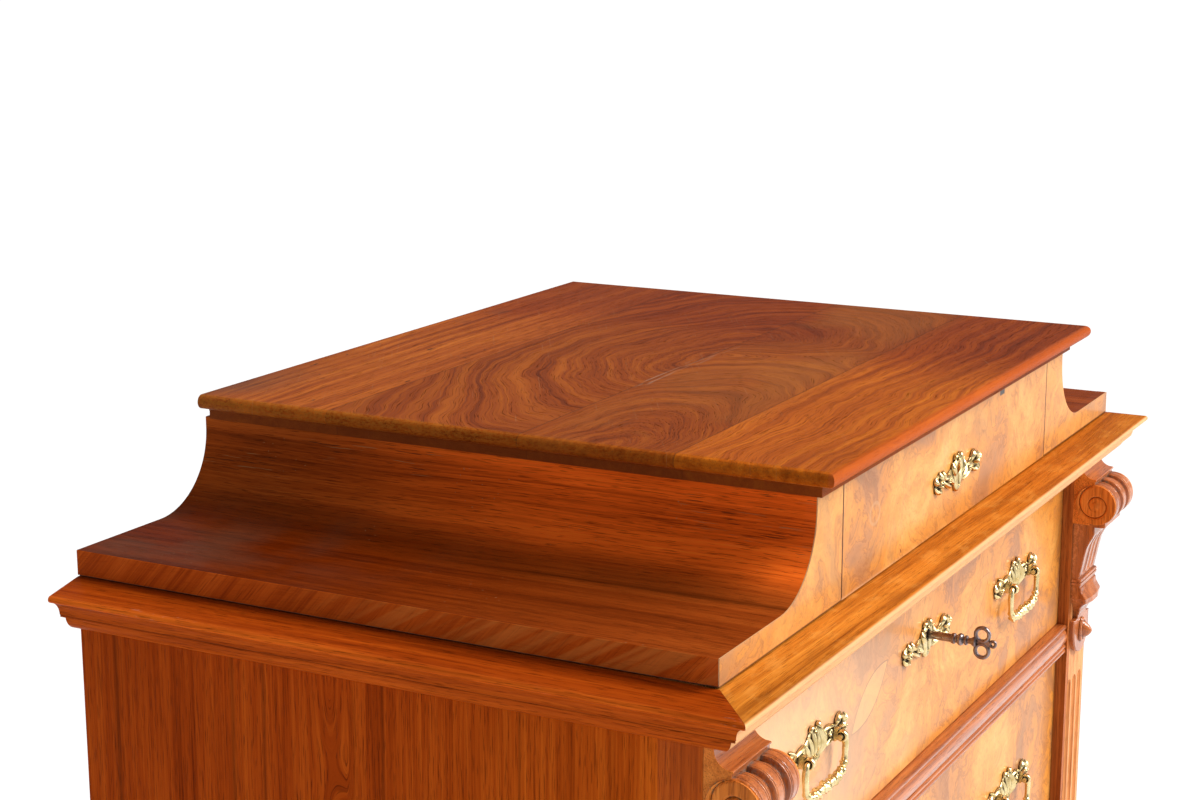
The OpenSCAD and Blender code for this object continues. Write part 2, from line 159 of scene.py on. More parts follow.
def run(shape, start, end, axis="x", offset=(0, 0, 0)):
    """An outline carried straight along x, given as (y, z), or along y, given as (x, z)."""
    far = np.broadcast_to(np.array([start, end], float)[:, None], (2, len(shape)))
    a, b = np.broadcast_to(shape[:, 0], far.shape), np.broadcast_to(shape[:, 1], far.shape)
    if axis == "x":
        return skin(np.stack([far, a, b], -1), offset=offset)
    return skin(np.stack([a, far, b], -1), offset=offset, grain="yxz")


def turned(shape, centre, axis, steps, hollow=False):
    """An outline of (radius, along) turned about the y or x axis through the centre."""
    shape = np.asarray(shape, float)
    t = whole_turn(steps)
    r, h = np.maximum(shape[:, :1], 0.02), np.broadcast_to(shape[:, 1:], (len(shape), steps))
    u, v = r * np.cos(t), r * np.sin(t)
    grid = [u, h, v] if axis == "y" else [h, u, v]
    return skin(np.stack(grid, -1) + centre, hollow=hollow, grain="zxy")


def placed(name, data):
    """A new object in the scene."""
    made = bpy.data.objects.new(name, data)
    bpy.context.scene.collection.objects.link(made)
    return made


def piece(name, skins, finishes, replaced, smooth, body="root"):
    """One object from several skins, in metres, with its grain and convexity stored. A skin wears the first finish, or
    the one whose number it holds."""
    faces, first = [], 0
    for part in skins:
        faces += (part["quads"] + first).tolist() + [(lid + first).tolist() for lid in part["lids"]]
        first += len(part["points"])
    points, grain, convex = (np.concatenate([part[key] for part in skins]) for key in ("points", "grain", "convex"))
    mesh = bpy.data.meshes.new(name)
    mesh.from_pydata((points * MM).tolist(), [], faces)
    stored = (("grain", "FLOAT_VECTOR", "vector", grain * MM), ("convex", "FLOAT", "value", convex))
    for key, kind, field, values in stored:
        mesh.attributes.new(key, kind, "POINT").data.foreach_set(field, values.astype(np.float32).ravel())
    for one in finishes:
        mesh.materials.append(one)
    chosen = [np.full(len(part["quads"]) + len(part["lids"]), part.get("finish", 0)) for part in skins]
    mesh.polygons.foreach_set("material_index", np.concatenate(chosen).astype(np.int32))
    mesh.shade_smooth()
    mesh.set_sharp_from_angle(angle=math.radians(smooth))
    mesh.update()
    made = placed(name, mesh)
    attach(made, body)
    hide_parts(replaced)


# ---- Measures of the CAD part, in mm ----

def corners(node):
    """A CAD node's lowest and highest corners, in mm."""
    low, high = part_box(node)
    return np.array(low) / MM, np.array(high) / MM


slab_low, slab_high = corners("top_slab")
step_low, step_high = corners("step_side_right")
plinth_low, plinth_high = corners("plinth")
DECK = step_low[2]  # the cornice's top, on which the step stands
HALF = step_high[0]
BACK = corners("side_panel_right")[1][1]
STEP_FRONT = corners("step_fascias")[0][1]
CARCASE_FRONT = corners("pilaster_right")[0][1] + 4 - STEP_FRONT  # the pilasters' ground, behind the step's front
STILE = 60
WEATHERING = 6.6
FRONT_M, DECK_M, HALF_M = STEP_FRONT * MM, DECK * MM, HALF * MM
SLAB_HALF_M, SLAB_TOP_M = slab_high[0] * MM, slab_high[2] * MM
SMALL_HALF_M = corners("step_drawer_front")[1][0] * MM


# ---- Finishes ----

def operator(operation, order=1):
    """A method that adds a Math node, with its values in this order or, at -1, the other way round."""
    return lambda self, *other: self.finish.node(
        "ShaderNodeMath", {"operation": operation}, dict(enumerate((self, *other)[::order])))


class Value:
    """A socket that takes part in sums."""

    def __init__(self, finish, socket):
        self.finish, self.socket = finish, socket

    __add__ = __radd__ = operator("ADD")
    __sub__, __rsub__ = operator("SUBTRACT"), operator("SUBTRACT", -1)
    __mul__ = __rmul__ = operator("MULTIPLY")
    __truediv__ = operator("DIVIDE")
    size, wave, root, angle = operator("ABSOLUTE"), operator("SINE"), operator("SQRT"), operator("ARCTAN2")

    def step(self, low, high, start=0, end=1):
        return self.finish.node("ShaderNodeMapRange", {"interpolation_type": "SMOOTHSTEP"}, {
            0: self, 1: low, 2: high, 3: start, 4: end})

    def within(self, low, high, soft):
        """1 between two bounds, with soft edges."""
        return self.step(low - soft, low + soft) * self.step(high + soft, high - soft)


class Finish:
    """A material in the making: the place on the object, and the colour, roughness and height so far."""

    def __init__(self, name):
        self.material = bpy.data.materials.new(name)
        self.material.use_nodes = True
        self.tree = self.material.node_tree
        self.tree.nodes.clear()
        self.place = self.node("ShaderNodeTexCoord", out="Object")
        self.x, self.y, self.z = self.split(self.place)
        self.colour = self.rough = self.height = None

    def node(self, kind, settings=None, sockets=None, out=0):
        """A node with its settings made first and its sockets then given values or links."""
        made = self.tree.nodes.new(kind)
        for key, value in (settings or {}).items():
            if key == "stops":
                ramp = made.color_ramp
                while len(ramp.elements) < len(value):
                    ramp.elements.new(0.5)
                for element, (place, colour) in zip(ramp.elements, value):
                    element.position = place
                    element.color = (*colour, 1)
            else:
                setattr(made, key, value)
        for key, value in (sockets or {}).items():
            if isinstance(value, Value):
                self.tree.links.new(value.socket, made.inputs[key])
            else:
                if isinstance(value, tuple) and made.inputs[key].type == "RGBA":
                    value = (*value, 1)
                made.inputs[key].default_value = value
        return Value(self, made.outputs[out])

    def held(self, name, out="Vector"):
        return self.node("ShaderNodeAttribute", {"attribute_name": name}, out=out)

    def split(self, vector):
        parts = self.node("ShaderNodeSeparateXYZ", sockets={0: vector}).socket.node
        return [Value(self, socket) for socket in parts.outputs]

    def joined(self, x, y, z):
        return self.node("ShaderNodeCombineXYZ", sockets={0: x, 1: y, 2: z})

    def along(self, axis):
        """The place with the grain's direction first."""
        x, y, z = self.x, self.y, self.z
        return self.joined(*{"x": (x, y, z), "y": (y, x, z), "z": (z, x, y)}[axis])

    def stretched(self, vector, by):
        return self.node("ShaderNodeVectorMath", {"operation": "MULTIPLY"}, {0: vector, 1: by})

    def shifted(self, vector, by):
        return self.node("ShaderNodeVectorMath", {"operation": "ADD"}, {0: vector, 1: by})

    def noise(self, vector, scale, detail=2, rough=0.5, twist=0, out=0):
        return self.node("ShaderNodeTexNoise", {"noise_dimensions": "3D"}, {
            "Vector": vector, "Scale": scale, "Detail": detail, "Roughness": rough, "Distortion": twist}, out)

    def streaks(self, vector, by, detail=2, rough=0.5, scale=1):
        """Noise with its own scale in each direction."""
        return self.noise(self.stretched(vector, by), scale, detail, rough)

    def drift(self, vector, scale, detail):
        """A slow noise vector about zero."""
        return self.shifted(self.noise(vector, scale, detail, out="Color"), (-0.5, -0.5, -0.5))

    def openness(self, reach):
        """Near 0 deep in a hollow, by what within a reach is closed off."""
        return self.node("ShaderNodeAmbientOcclusion", {"samples": 8}, {"Distance": reach}, "AO")

    def ramp(self, value, *stops):
        return self.node("ShaderNodeValToRGB", {"stops": stops}, {0: value})

    def mix(self, first, second, amount, blend="MIX"):
        settings = {"data_type": "RGBA", "blend_type": blend}
        return self.node("ShaderNodeMix", settings, {0: amount, 6: first, 7: second}, 2)

    def times(self, by):
        """The colour so far, multiplied."""
        return self.mix(self.colour, by, 1, "MULTIPLY")

    def paint(self, colour, amount):
        self.colour = self.mix(self.colour, colour, amount)

    def tint(self, by, amount):
        self.paint(self.times(by), amount)

    def aside(self, look, *args, **settings):
        """The colour that a look gives, with the finish left as it is."""
        own = self.colour, self.rough, self.height
        look(self, *args, **settings)
        found = self.colour
        self.colour, self.rough, self.height = own
        return found

    def done(self, specular=0.5, tint=(1, 1, 1), coat=0, coat_rough=0.1, metallic=0, depth=0.0003):
        sockets = {"Base Color": self.colour, "Roughness": self.rough, "Metallic": metallic, "Coat Weight": coat,
                   "Coat Roughness": coat_rough, "Specular IOR Level": specular, "Specular Tint": tint}
        if self.height:
            bump = {"Strength": 0.6, "Distance": depth, "Height": self.height}
            sockets["Normal"] = self.node("ShaderNodeBump", {}, bump)
        shader = self.node("ShaderNodeBsdfPrincipled", {}, sockets)
        output = self.tree.nodes.new("ShaderNodeOutputMaterial")
        self.tree.links.new(shader.socket, output.inputs["Surface"])
        return self.material


SATIN = dict(specular=0.02, tint=(1, 0.5, 0.2))
GLOSS = dict(specular=0.32, tint=(1, 0.8, 0.65), coat=0.8, coat_rough=0.13)
VENEER = dict(specular=0.22, tint=(1, 0.9, 0.8), coat=0.16, coat_rough=0.14)


def walnut_look(f, g, light, mid, dark, streak=0.5, rings=1, wander=0.035, pore_amount=0.55):
    """Polished walnut with its grain along g's first axis, which wanders by slow noise. Bands, threads, fibre and short
    dark pores are noise stretched along it."""
    g = f.shifted(g, f.stretched(f.drift(f.stretched(g, (1.3, 5, 5)), 1, 3), (0, wander, wander)))
    bands = f.streaks(g, (0.9, 34 * rings, 34 * rings), 5, 0.6)
    fibre = f.streaks(g, (9, 620, 620), 2, 0.6)
    pore = f.streaks(g, (55, 1500, 1500), 1).step(0.58, 0.7)
    stripes = f.streaks(f.shifted(g, (3.1, 0.7, 1.9)), (0.7, 52, 52), 3, 0.55)
    thread = f.streaks(g, (4.5, 210, 210), 3, 0.65)
    f.colour = f.ramp(bands * 0.46 + thread * 0.3 + fibre * 0.24, (0.36, dark), (0.48, mid), (0.62, light))
    f.paint(tuple(c * 0.42 for c in dark), stripes.step(0.6, 0.76) * streak)
    f.paint(tuple(c * 0.35 for c in dark), pore * pore_amount)
    f.paint(tuple(c * 0.66 for c in mid), f.noise(g, 5, 3).step(0.45, 0.75) * 0.45)
    f.rough, f.height = 0.3 + fibre * 0.12 + pore * 0.15, fibre * 0.5 - pore * 0.9


def hollow_shade_and_worn_arrises(f, light, dark, worn):
    """Hollows darkened as painted shade and arrises rubbed pale as wear, by the stored convexity and noise."""
    convex = f.held("convex", "Fac")
    # painted shade: the hollows darkened by the stored convexity
    f.paint(tuple(c * 0.3 for c in dark), (convex * -1).step(0.05, 0.24) * 0.75)
    rubbed = convex.step(0.07, 0.24) * f.noise(f.place, 420, 4, 0.7).step(0.4, 0.66)
    f.paint(tuple(min(1, 1.5 * c + 0.04) for c in light), rubbed * worn)


def glossy_walnut(name, axis, light, mid, dark):
    """The walnut of the turned and reeded parts."""
    f = Finish(name)
    walnut_look(f, f.along(axis), light, mid, dark)
    return f.done(**GLOSS)


def burl_look(f, p):
    """Burr walnut: clouds, smoke, dark wisps along the level lines of warped noise, and small ringed eyes."""
    q = f.shifted(p, f.stretched(f.drift(p, 7, 3), (0.1, 0.1, 0.1)))
    clouds = f.noise(q, 8, 5, 0.58, 0.8)
    swirl = f.noise(q, 24, 4, 0.6, 1.6)
    fine = f.noise(q, 240, 3, 0.6)
    hairs = f.streaks(q, (1, 1, 0.3), 1, scale=900)
    f.colour = f.ramp(clouds * 0.75 + swirl * 0.25, (0.28, (0.82, 0.435, 0.135)), (0.42, (0.74, 0.32, 0.066)),
                      (0.52, (0.66, 0.245, 0.038)), (0.6, (0.46, 0.185, 0.062)), (0.72, (0.22, 0.085, 0.032)))
    smoke = f.noise(f.shifted(q, (0.4, 0.2, 0.9)), 11, 5, 0.62, 1.2)
    f.paint((0.34, 0.165, 0.065), smoke.step(0.5, 0.74) * 0.6)
    wisp = (swirl - 0.5).size().step(0.04, 0)
    f.paint((0.3, 0.1, 0.03), wisp * clouds.step(0.36, 0.56) * 0.55)
    cell = f.node("ShaderNodeTexVoronoi", {}, {"Vector": q, "Scale": 46})
    chosen = f.noise(q, 13, 1).step(0.52, 0.62)
    ring = (cell * 46).wave().step(0.2, 1) * cell.step(0.34, 0.12)
    f.paint((0.3, 0.11, 0.036), ring * chosen * 0.5)
    f.paint((0.14, 0.05, 0.018), cell.step(0.085, 0.035) * chosen * 0.8)
    f.paint((0.42, 0.17, 0.055), fine.step(0.48, 0.7) * 0.38)
    f.paint((0.22, 0.08, 0.026), hairs.step(0.62, 0.74) * 0.4)
    f.rough, f.height = 0.3 + fine * 0.12, fine


# Patches let into the burr: the middle of each across and up in metres, and how plainly it shows
PATCHES = ((-0.122, (DECK - 112) * MM, 1), (0.126, (DECK - 108) * MM, 0.4))
PATCH_LONG, PATCH_WIDE, PATCH_SLANT = 0.041, 0.0135, math.radians(27)
STEP_MARK = (DECK + 83.5) * MM


def burr_fronts():
    """The drawer fronts. Two leaf-shaped patches are let into the first long one: u runs along a patch and v across it,
    as shares of its half size, and its edge is where |v| + u squared is 1. The long fronts are bleached to the left.
    The small one has painted shade along its ends, an old mark and a rubbed oval."""
    f = Finish("burr_fronts")
    burl_look(f, f.place)
    cos, sin = math.cos(PATCH_SLANT), math.sin(PATCH_SLANT)
    for middle_x, middle_z, strength in PATCHES:
        u = ((f.x - middle_x) * cos + (f.z - middle_z) * sin) / PATCH_LONG
        v = ((f.z - middle_z) * cos - (f.x - middle_x) * sin) / PATCH_WIDE
        reach = v.size() + u * u
        other = f.aside(burl_look, f.shifted(f.place, (0.31, 0, 0.17)))
        f.paint(f.mix(other, (0.8, 0.44, 0.16), 0.45), reach.step(1.02, 0.98) * 0.6 * strength)
        f.paint((0.2, 0.07, 0.022), reach.within(0.955, 1.045, 0.03) * 0.85 * strength)
    small = f.z.step(DECK_M, DECK_M + 0.004)
    f.paint((0.94, 0.64, 0.4), f.x.step(0.06, -0.36) * (1 - small) * 0.48)
    # painted shade: dark lines along the small front's ends, at the gaps beside it
    ends = f.x.size().step(SMALL_HALF_M - 0.0013, SMALL_HALF_M - 0.0008) * small
    f.paint((0.05, 0.016, 0.008), ends * 0.85)
    mark = f.x.within(0.107, 0.119, 0.001) * f.z.within(STEP_MARK - 0.0022, STEP_MARK + 0.0022, 0.0008)
    f.paint((0.05, 0.03, 0.022), mark)
    across, up = (f.x + 0.177) * 90, (f.z - STEP_MARK + 0.034) * 110
    f.paint((0.56, 0.3, 0.13), (across * across + up * up).within(0.55, 1, 0.15) * 0.5)
    return f.done(depth=0.0001, **VENEER)


def cove_look(f):
    """The coved shoulders: painted light on the cove, brighter towards the front, and painted shade on the ledge,
    darker towards the back; scratched under the slab, dusty at its back, a grey line at the foot that is dust and
    painted shade in the gap, and on the ledge's outer face a cross-banded lipping, lighter in slanted bands towards the
    front."""
    grain = f.along("y")
    walnut_look(f, grain, (0.5, 0.105, 0.014), (0.33, 0.058, 0.007), (0.15, 0.022, 0.003), streak=0.75)
    up, depth = f.z - DECK_M, f.y - FRONT_M
    # painted light: the cove made brighter towards the front
    f.tint((2.7, 2.25, 1.5), depth.step(0.47, 0.16) * up.step(0.021, 0.038))
    # painted shade: the ledge made darker, more so towards the back
    f.tint((0.42, 0.28, 0.11), up.step(0.04, 0.0215) * depth.step(-0.02, 0.36, 0.35, 1))
    scratch = f.streaks(grain, (22, 560, 560), 3, 0.7)
    patch = f.streaks(f.shifted(grain, (0.23, 0, 0.4)), (6, 26, 26)).step(0.56, 0.63) * up.step(0.034, 0.06)
    f.paint((0.05, 0.018, 0.008), scratch.step(0.6, 0.65) * patch * 0.85)
    f.paint((0.34, 0.16, 0.06), scratch.step(0.4, 0.34) * patch * 0.7)
    specks = f.streaks(f.place, (1, 0.6, 1), 0, scale=700).step(0.81, 0.83)
    f.paint((0.42, 0.22, 0.1), specks * f.noise(f.place, 17).step(0.56, 0.62) * 0.5)
    back = depth.step(0.2, 0.48) * up.step(0.05, 0.021)
    f.paint((0.11, 0.052, 0.03), back * f.noise(f.place, 14, 4).step(0.4, 0.72) * 0.45)
    lip = f.x.size().step(HALF_M - 0.0006, HALF_M - 0.0002) * up.step(0.0212, 0.0198)
    slanted = depth + up * 0.9
    f.paint(f.aside(walnut_look, f.joined(up + slanted * 0.25, slanted, f.x), (0.6, 0.11, 0.012), (0.45, 0.068, 0.006),
                    (0.27, 0.034, 0.003), streak=0), lip)
    bands = f.noise(f.joined((slanted + up * 0.8) * 95, slanted, f.x), 1, 1)
    f.paint((0.56, 0.165, 0.032), bands.step(0.4, 0.66) * lip * depth.step(0.36, 0.2) * 0.5)
    # a grey line at the foot: dust, and painted shade of the gap under the ledge
    gap_dust_and_shade = up.step(0.0018, 0.001)
    f.paint((0.1, 0.075, 0.06), gap_dust_and_shade * (0.35 + f.noise(grain, 90) * 0.9))
    f.rough = f.rough + gap_dust_and_shade * 0.4


def coved_shoulders():
    f = Finish("walnut_cove")
    cove_look(f)
    return f.done(**SATIN)


def fascia_veneer():
    """The step's fascias: burr on the front, and the shoulder's wood behind it, with a painted highlight along the
    arris and a line of painted shade along the foot.
    """
    f = Finish("burr_fascias")
    burl_look(f, f.place)
    behind = f.y - FRONT_M
    f.paint(f.aside(cove_look), behind.step(0.0006, 0.0011))
    # painted highlight: a pale line along the arris behind the burr
    f.paint((0.8, 0.5, 0.27), behind.within(0.0001, 0.0007, 0.0002) * 0.75)
    # painted shade: a dark line along the foot, over the gap
    f.paint((0.08, 0.035, 0.018), (f.z - DECK_M).step(0.0022, 0.0014) * 0.8)
    return f.done(specular=0.03, tint=(1, 0.9, 0.8), coat=behind.step(0.0009, 0.0003) * 0.3, coat_rough=0.14,
                  depth=0.0001)


# The joints between the slab's boards, in metres behind the step's front
SLAB_JOINTS = (0.1, 0.225, 0.39)


def slab_boards():
    """The slab's four boards with dark joints. The back one is straight and pale with dark spots. The middle ones have
    crotch figure, whose grain runs round a centre: along is the angle and across the squashed distance, both warped by
    noise. The front one is wavy and golden and darkens to the right."""
    f = Finish("walnut_top")
    place, x, y, z = f.place, f.x, f.y - FRONT_M, f.z
    warp = f.split(f.drift(place, 6.5, 3))
    wx, wy = x + warp[0] * 0.09, y + warp[1] * 0.07

    def round_centre(centre_x, centre_y, squash):
        u, v = (wx - centre_x) * squash, wy - centre_y
        return f.joined(v.angle(u) * 0.16, (u * u + v * v).root() * 1.15, z)

    def blend(first, second, amount):
        return f.node("ShaderNodeMix", {"data_type": "VECTOR"}, {0: amount, 4: first, 5: second}, 1)

    past_front, past_middle, past_back = (y.step(at - 0.0004, at + 0.0004) for at in SLAB_JOINTS)
    right = (x + warp[1] * 0.1).step(0.02, 0.12)
    front_middle = blend(round_centre(-0.31, 0.16, 0.36), round_centre(0.09, 0.235, 0.75), right)
    g = blend(f.joined(x, y + warp[1] * 0.05, z), front_middle, past_front)
    g = blend(g, round_centre(0.02, 0.215, 0.5), past_middle)
    g = blend(g, f.joined(x, y * 0.8 + warp[1] * 0.01, z), past_back)
    walnut_look(f, g, (0.4, 0.092, 0.008), (0.27, 0.048, 0.004), (0.14, 0.021, 0.002), 0.45, 3.2, 0.02)
    slow = f.noise(place, 4, 3)
    f.tint((0.76, 0.58, 0.5), (x + warp[1] * 0.3).step(-0.02, 0.2))
    golden = f.times((1.6, 1.8, 1.25))
    f.tint((1.3, 1.45, 1.7), past_back)
    f.paint(golden, (1 - past_front) * (1 - (x + warp[0] * 0.2).step(-0.02, 0.16) * 0.75))
    f.paint((0.42, 0.15, 0.03), y.within(0.1, 0.22, 0.02) * slow.step(0.42, 0.62) * 0.3)
    for at in SLAB_JOINTS:
        f.paint((0.075, 0.02, 0.008), y.within(at - 0.0004, at + 0.0004, 0.0003) * 0.7)
    spots = f.streaks(place, (1, 2.2, 1), scale=62).step(0.7, 0.76)
    f.paint((0.035, 0.015, 0.01), spots * past_back * x.step(0.05, -0.12) * 0.9)
    blot = f.noise(place, 13, 3).step(0.56, 0.68)
    f.paint((0.09, 0.035, 0.02), blot * x.within(0.02, 0.13, 0.03) * y.within(0.43, 0.49, 0.02) * 0.7)
    corner = x.step(-0.14, -0.28) * y.step(0.44, 0.51)
    f.paint((0.07, 0.04, 0.03), corner * slow.step(0.35, 0.6) * 0.6)
    seam = y.within(0.219, 0.229, 0.003) * x.within(-0.11, 0.06, 0.02)
    f.paint((0.42, 0.27, 0.19), f.streaks(place, (22, 700, 1)).step(0.56, 0.7) * seam * 0.6)
    scuff = f.streaks(f.joined(x + y * 0.6, y - x * 0.6, z), (14, 900, 1), 1)
    f.paint((0.46, 0.24, 0.12), scuff.step(0.73, 0.78) * 0.25)
    edge = x.size().step(SLAB_HALF_M - 0.0085, SLAB_HALF_M - 0.0035)
    grit = f.streaks(place, (2, 1, 2), 4, 0.7, 330)
    f.paint((0.38, 0.12, 0.016), edge * grit.step(0.38, 0.6) * y.step(0.05, 0.45, 0.3, 0.85))
    f.paint((0.075, 0.022, 0.008), edge * grit.step(0.62, 0.7) * 0.75)
    # painted highlight: orange along the front of the nose
    lip = y.step(-0.0135, -0.0165)
    f.paint((0.44, 0.085, 0.016), lip * 0.75)
    # painted shade: darker under the nose at the sides
    f.paint((0.2, 0.045, 0.01), f.z.step(SLAB_TOP_M - 0.0105, SLAB_TOP_M - 0.0125) * (1 - lip) * 0.75)
    # painted shade: hollows darkened by the stored convexity
    f.paint((0.06, 0.014, 0.005), (f.held("convex", "Fac") * -1).step(0.05, 0.22) * 0.7)
    return f.done(specular=0.02, tint=(1, 0.6, 0.32))


def front_mouldings():
    """The front mouldings: golden with cloudy figure, less red to the right, and a pale rubbed band where the board
    turns down to the nose."""
    f = Finish("walnut_front_mouldings")
    light, dark = (0.72, 0.25, 0.03), (0.24, 0.056, 0.005)
    walnut_look(f, f.place, light, (0.51, 0.148, 0.014), dark, rings=1.3, pore_amount=0.35)
    mottle = f.streaks(f.place, (1, 2.4, 2.4), 3, 0.6, 26)
    f.paint((0.86, 0.4, 0.085), mottle.step(0.5, 0.7) * 0.25)
    f.paint((0.3, 0.085, 0.012), mottle.step(0.44, 0.28) * 0.3)
    f.tint((0.88, 0.76, 0.58), f.x.step(-0.2, 0.25))
    top = (DECK - WEATHERING) * MM
    f.paint((0.9, 0.5, 0.24), f.z.within(top - 0.0345, top - 0.0004, 0.0006) * 0.72)
    # hollows darkened as painted shade, arrises rubbed pale
    hollow_shade_and_worn_arrises(f, light, dark, 0.35)
    return f.done(**SATIN)


def side_mouldings():
    """The side mouldings: darker on top, redder and rubbed on the nose, with a line of painted shade at each step of
    the edge.
    """
    f = Finish("walnut_side_mouldings")
    light, dark = (0.6, 0.112, 0.01), (0.18, 0.022, 0.002)
    walnut_look(f, f.along("y"), light, (0.4, 0.062, 0.005), dark, streak=0.6, rings=1.2)
    top = (DECK - WEATHERING) * MM
    f.tint((0.85, 0.72, 0.5), f.z.step(top - 0.0002, top + 0.0008))
    f.tint((1.45, 1.55, 1.5), f.z.within(top - 0.005, top, 0.0006))
    grit = f.streaks(f.place, (1, 0.16, 1), 4, 0.75, 240).step(0.55, 0.66)
    bare = f.noise(f.joined(f.y, 0, 0), 9, 2).step(0.52, 0.66)
    f.paint((0.6, 0.3, 0.2), f.z.within(top - 0.004, top + 0.0006, 0.0008) * grit * bare * 0.8)
    # painted shade: a dark line under the nose and at each step of the edge
    for down in (0.006, 0.0168, 0.019):
        f.paint((0.055, 0.012, 0.002), f.z.within(top - down - 0.0006, top - down, 0.0004) * 0.6)
    # hollows darkened as painted shade, arrises rubbed pale
    hollow_shade_and_worn_arrises(f, light, dark, 0.25)
    return f.done(**SATIN)


def upright_panels():
    """The sides: upright grain, more orange to the front, old dark stripes, and a flame figure hanging from the top,
    whose level lines are ellipses six times as tall as wide."""
    f = Finish("walnut_upright")
    depth = f.y - FRONT_M
    down = (DECK - 40) * MM - f.z
    off = depth - 0.297
    flame = off.size().step(0.024, 0.012) * down.step(0.13, 0.05)
    hung = (off * off + down * down * 0.026).root()
    walnut_look(f, f.joined(f.z, depth + (hung - off) * flame, f.x), (0.54, 0.094, 0.007), (0.365, 0.049, 0.003),
                (0.175, 0.019, 0.001), streak=0.6, wander=0.014)
    f.tint((1.25, 1.5, 1.5), depth.step(0.3, 0.02))
    swayed = depth + f.noise(f.joined(f.z, 0, 0), 3) * 0.01
    for at, wide in ((0.49, 0.004), (0.385, 0.003), (0.358, 0.0025), (0.258, 0.002), (0.15, 0.0016)):
        f.paint((0.115, 0.018, 0.002), swayed.within(at, at + wide, wide * 0.6) * 0.55)
    return f.done(**SATIN)


def carved_finish():
    """The corbels: glossy, with rubbed arrises, hollows darkened as painted shade, dust where the scroll leaves its
    ground, dull flanks.
    """
    f = Finish("walnut_carved")
    light, dark = (0.6, 0.19, 0.048), (0.22, 0.046, 0.008)
    walnut_look(f, f.held("grain"), light, (0.44, 0.115, 0.024), dark)
    # hollows darkened as painted shade, arrises rubbed pale
    hollow_shade_and_worn_arrises(f, light, dark, 0.45)
    open_part = f.openness(0.01)
    # painted shade: darker where the hollows are closed off
    f.paint((0.085, 0.028, 0.01), open_part.step(0.62, 0.3) * 0.75)
    dust = f.z.within(DECK_M - 0.07, DECK_M - 0.057, 0.002) * f.noise(f.place, 300, 4, 0.7).step(0.42, 0.6)
    f.paint((0.2, 0.155, 0.125), dust * open_part.step(0.85, 0.5) * 0.85)
    inner = HALF_M - STILE * MM
    flank = (f.x.size().step(HALF_M - 0.0006, HALF_M - 0.0002)
             + f.x.size().step(inner + 0.0006, inner + 0.0002))
    f.tint((1.55, 1.6, 1.05), flank)
    f.rough = f.rough + dust * 0.3
    return f.done(specular=0.16, tint=(1, 0.75, 0.55), coat=(1 - flank) * 0.95, coat_rough=0.13)


def stiles():
    """The pilasters: pale on the front as a painted highlight, brown on the inner edge as painted shade, and side
    veneer on the return behind a dark joint.
    """
    f = Finish("walnut_stiles")
    grain = f.joined(f.z, f.y, f.x)
    # painted highlight: the front's walnut is given pale colours
    walnut_look(f, grain, (0.92, 0.44, 0.18), (0.74, 0.3, 0.105), (0.42, 0.13, 0.036))
    inner = HALF_M - STILE * MM + 0.008
    # painted shade: a darker copy of the walnut on the inner edge
    shaded_inner_walnut = f.aside(walnut_look, grain, (0.6, 0.2, 0.05), (0.46, 0.125, 0.026), (0.24, 0.055, 0.01))
    f.paint(shaded_inner_walnut, f.x.size().step(inner + 0.001, inner))
    side = f.aside(walnut_look, grain, (0.68, 0.15, 0.012), (0.46, 0.078, 0.006), (0.22, 0.031, 0.002))
    outer = f.x.size().step(HALF_M - 0.0008, HALF_M - 0.0003)
    f.paint(side, outer)
    f.paint((0.05, 0.014, 0.004), outer * (f.y - FRONT_M).within(0.01, 0.0108, 0.0004) * 0.9)
    return f.done(specular=0.05, tint=(1, 0.7, 0.45), coat=0.04, coat_rough=0.2)


def softwood(name, axis):
    """Plain pine inside the case, with brown late-wood lines and dusty marks."""
    f = Finish(name)
    g = f.along(axis)
    g = f.shifted(g, f.stretched(f.noise(f.stretched(g, (1, 4, 4)), 1, 2, out="Color"), (0, 0.05, 0.05)))
    fibre = f.streaks(g, (12, 700, 700))
    f.colour = f.ramp(f.streaks(g, (0.6, 70, 70), 3) * 0.8 + fibre * 0.2, (0.35, (0.62, 0.4, 0.19)),
                      (0.5, (0.52, 0.3, 0.125)), (0.66, (0.34, 0.165, 0.06)))
    f.paint((0.22, 0.13, 0.07), f.noise(g, 11, 5, 0.6).step(0.56, 0.8) * 0.4)
    f.rough, f.height = 0.62 + fibre * 0.2, fibre
    return f.done(specular=0.2)


def metal(name, bright, dull, hollow, rough):
    """Metal: bright where it is handled, dull by slow noise, and dark in the hollows."""
    f = Finish(name)
    cloud = f.noise(f.place, 90, 4, 0.6)
    dark = (f.openness(0.004) + (cloud - 0.5) * 0.35).step(0.86, 0.45)
    f.colour = f.mix(bright, dull, cloud.step(0.4, 0.72))
    f.paint(hollow, dark)
    f.rough, f.height = rough + cloud * 0.16 + dark * 0.3, f.noise(f.place, 1400, 2)
    return f.done(metallic=1 - dark * 0.6, depth=0.00008)


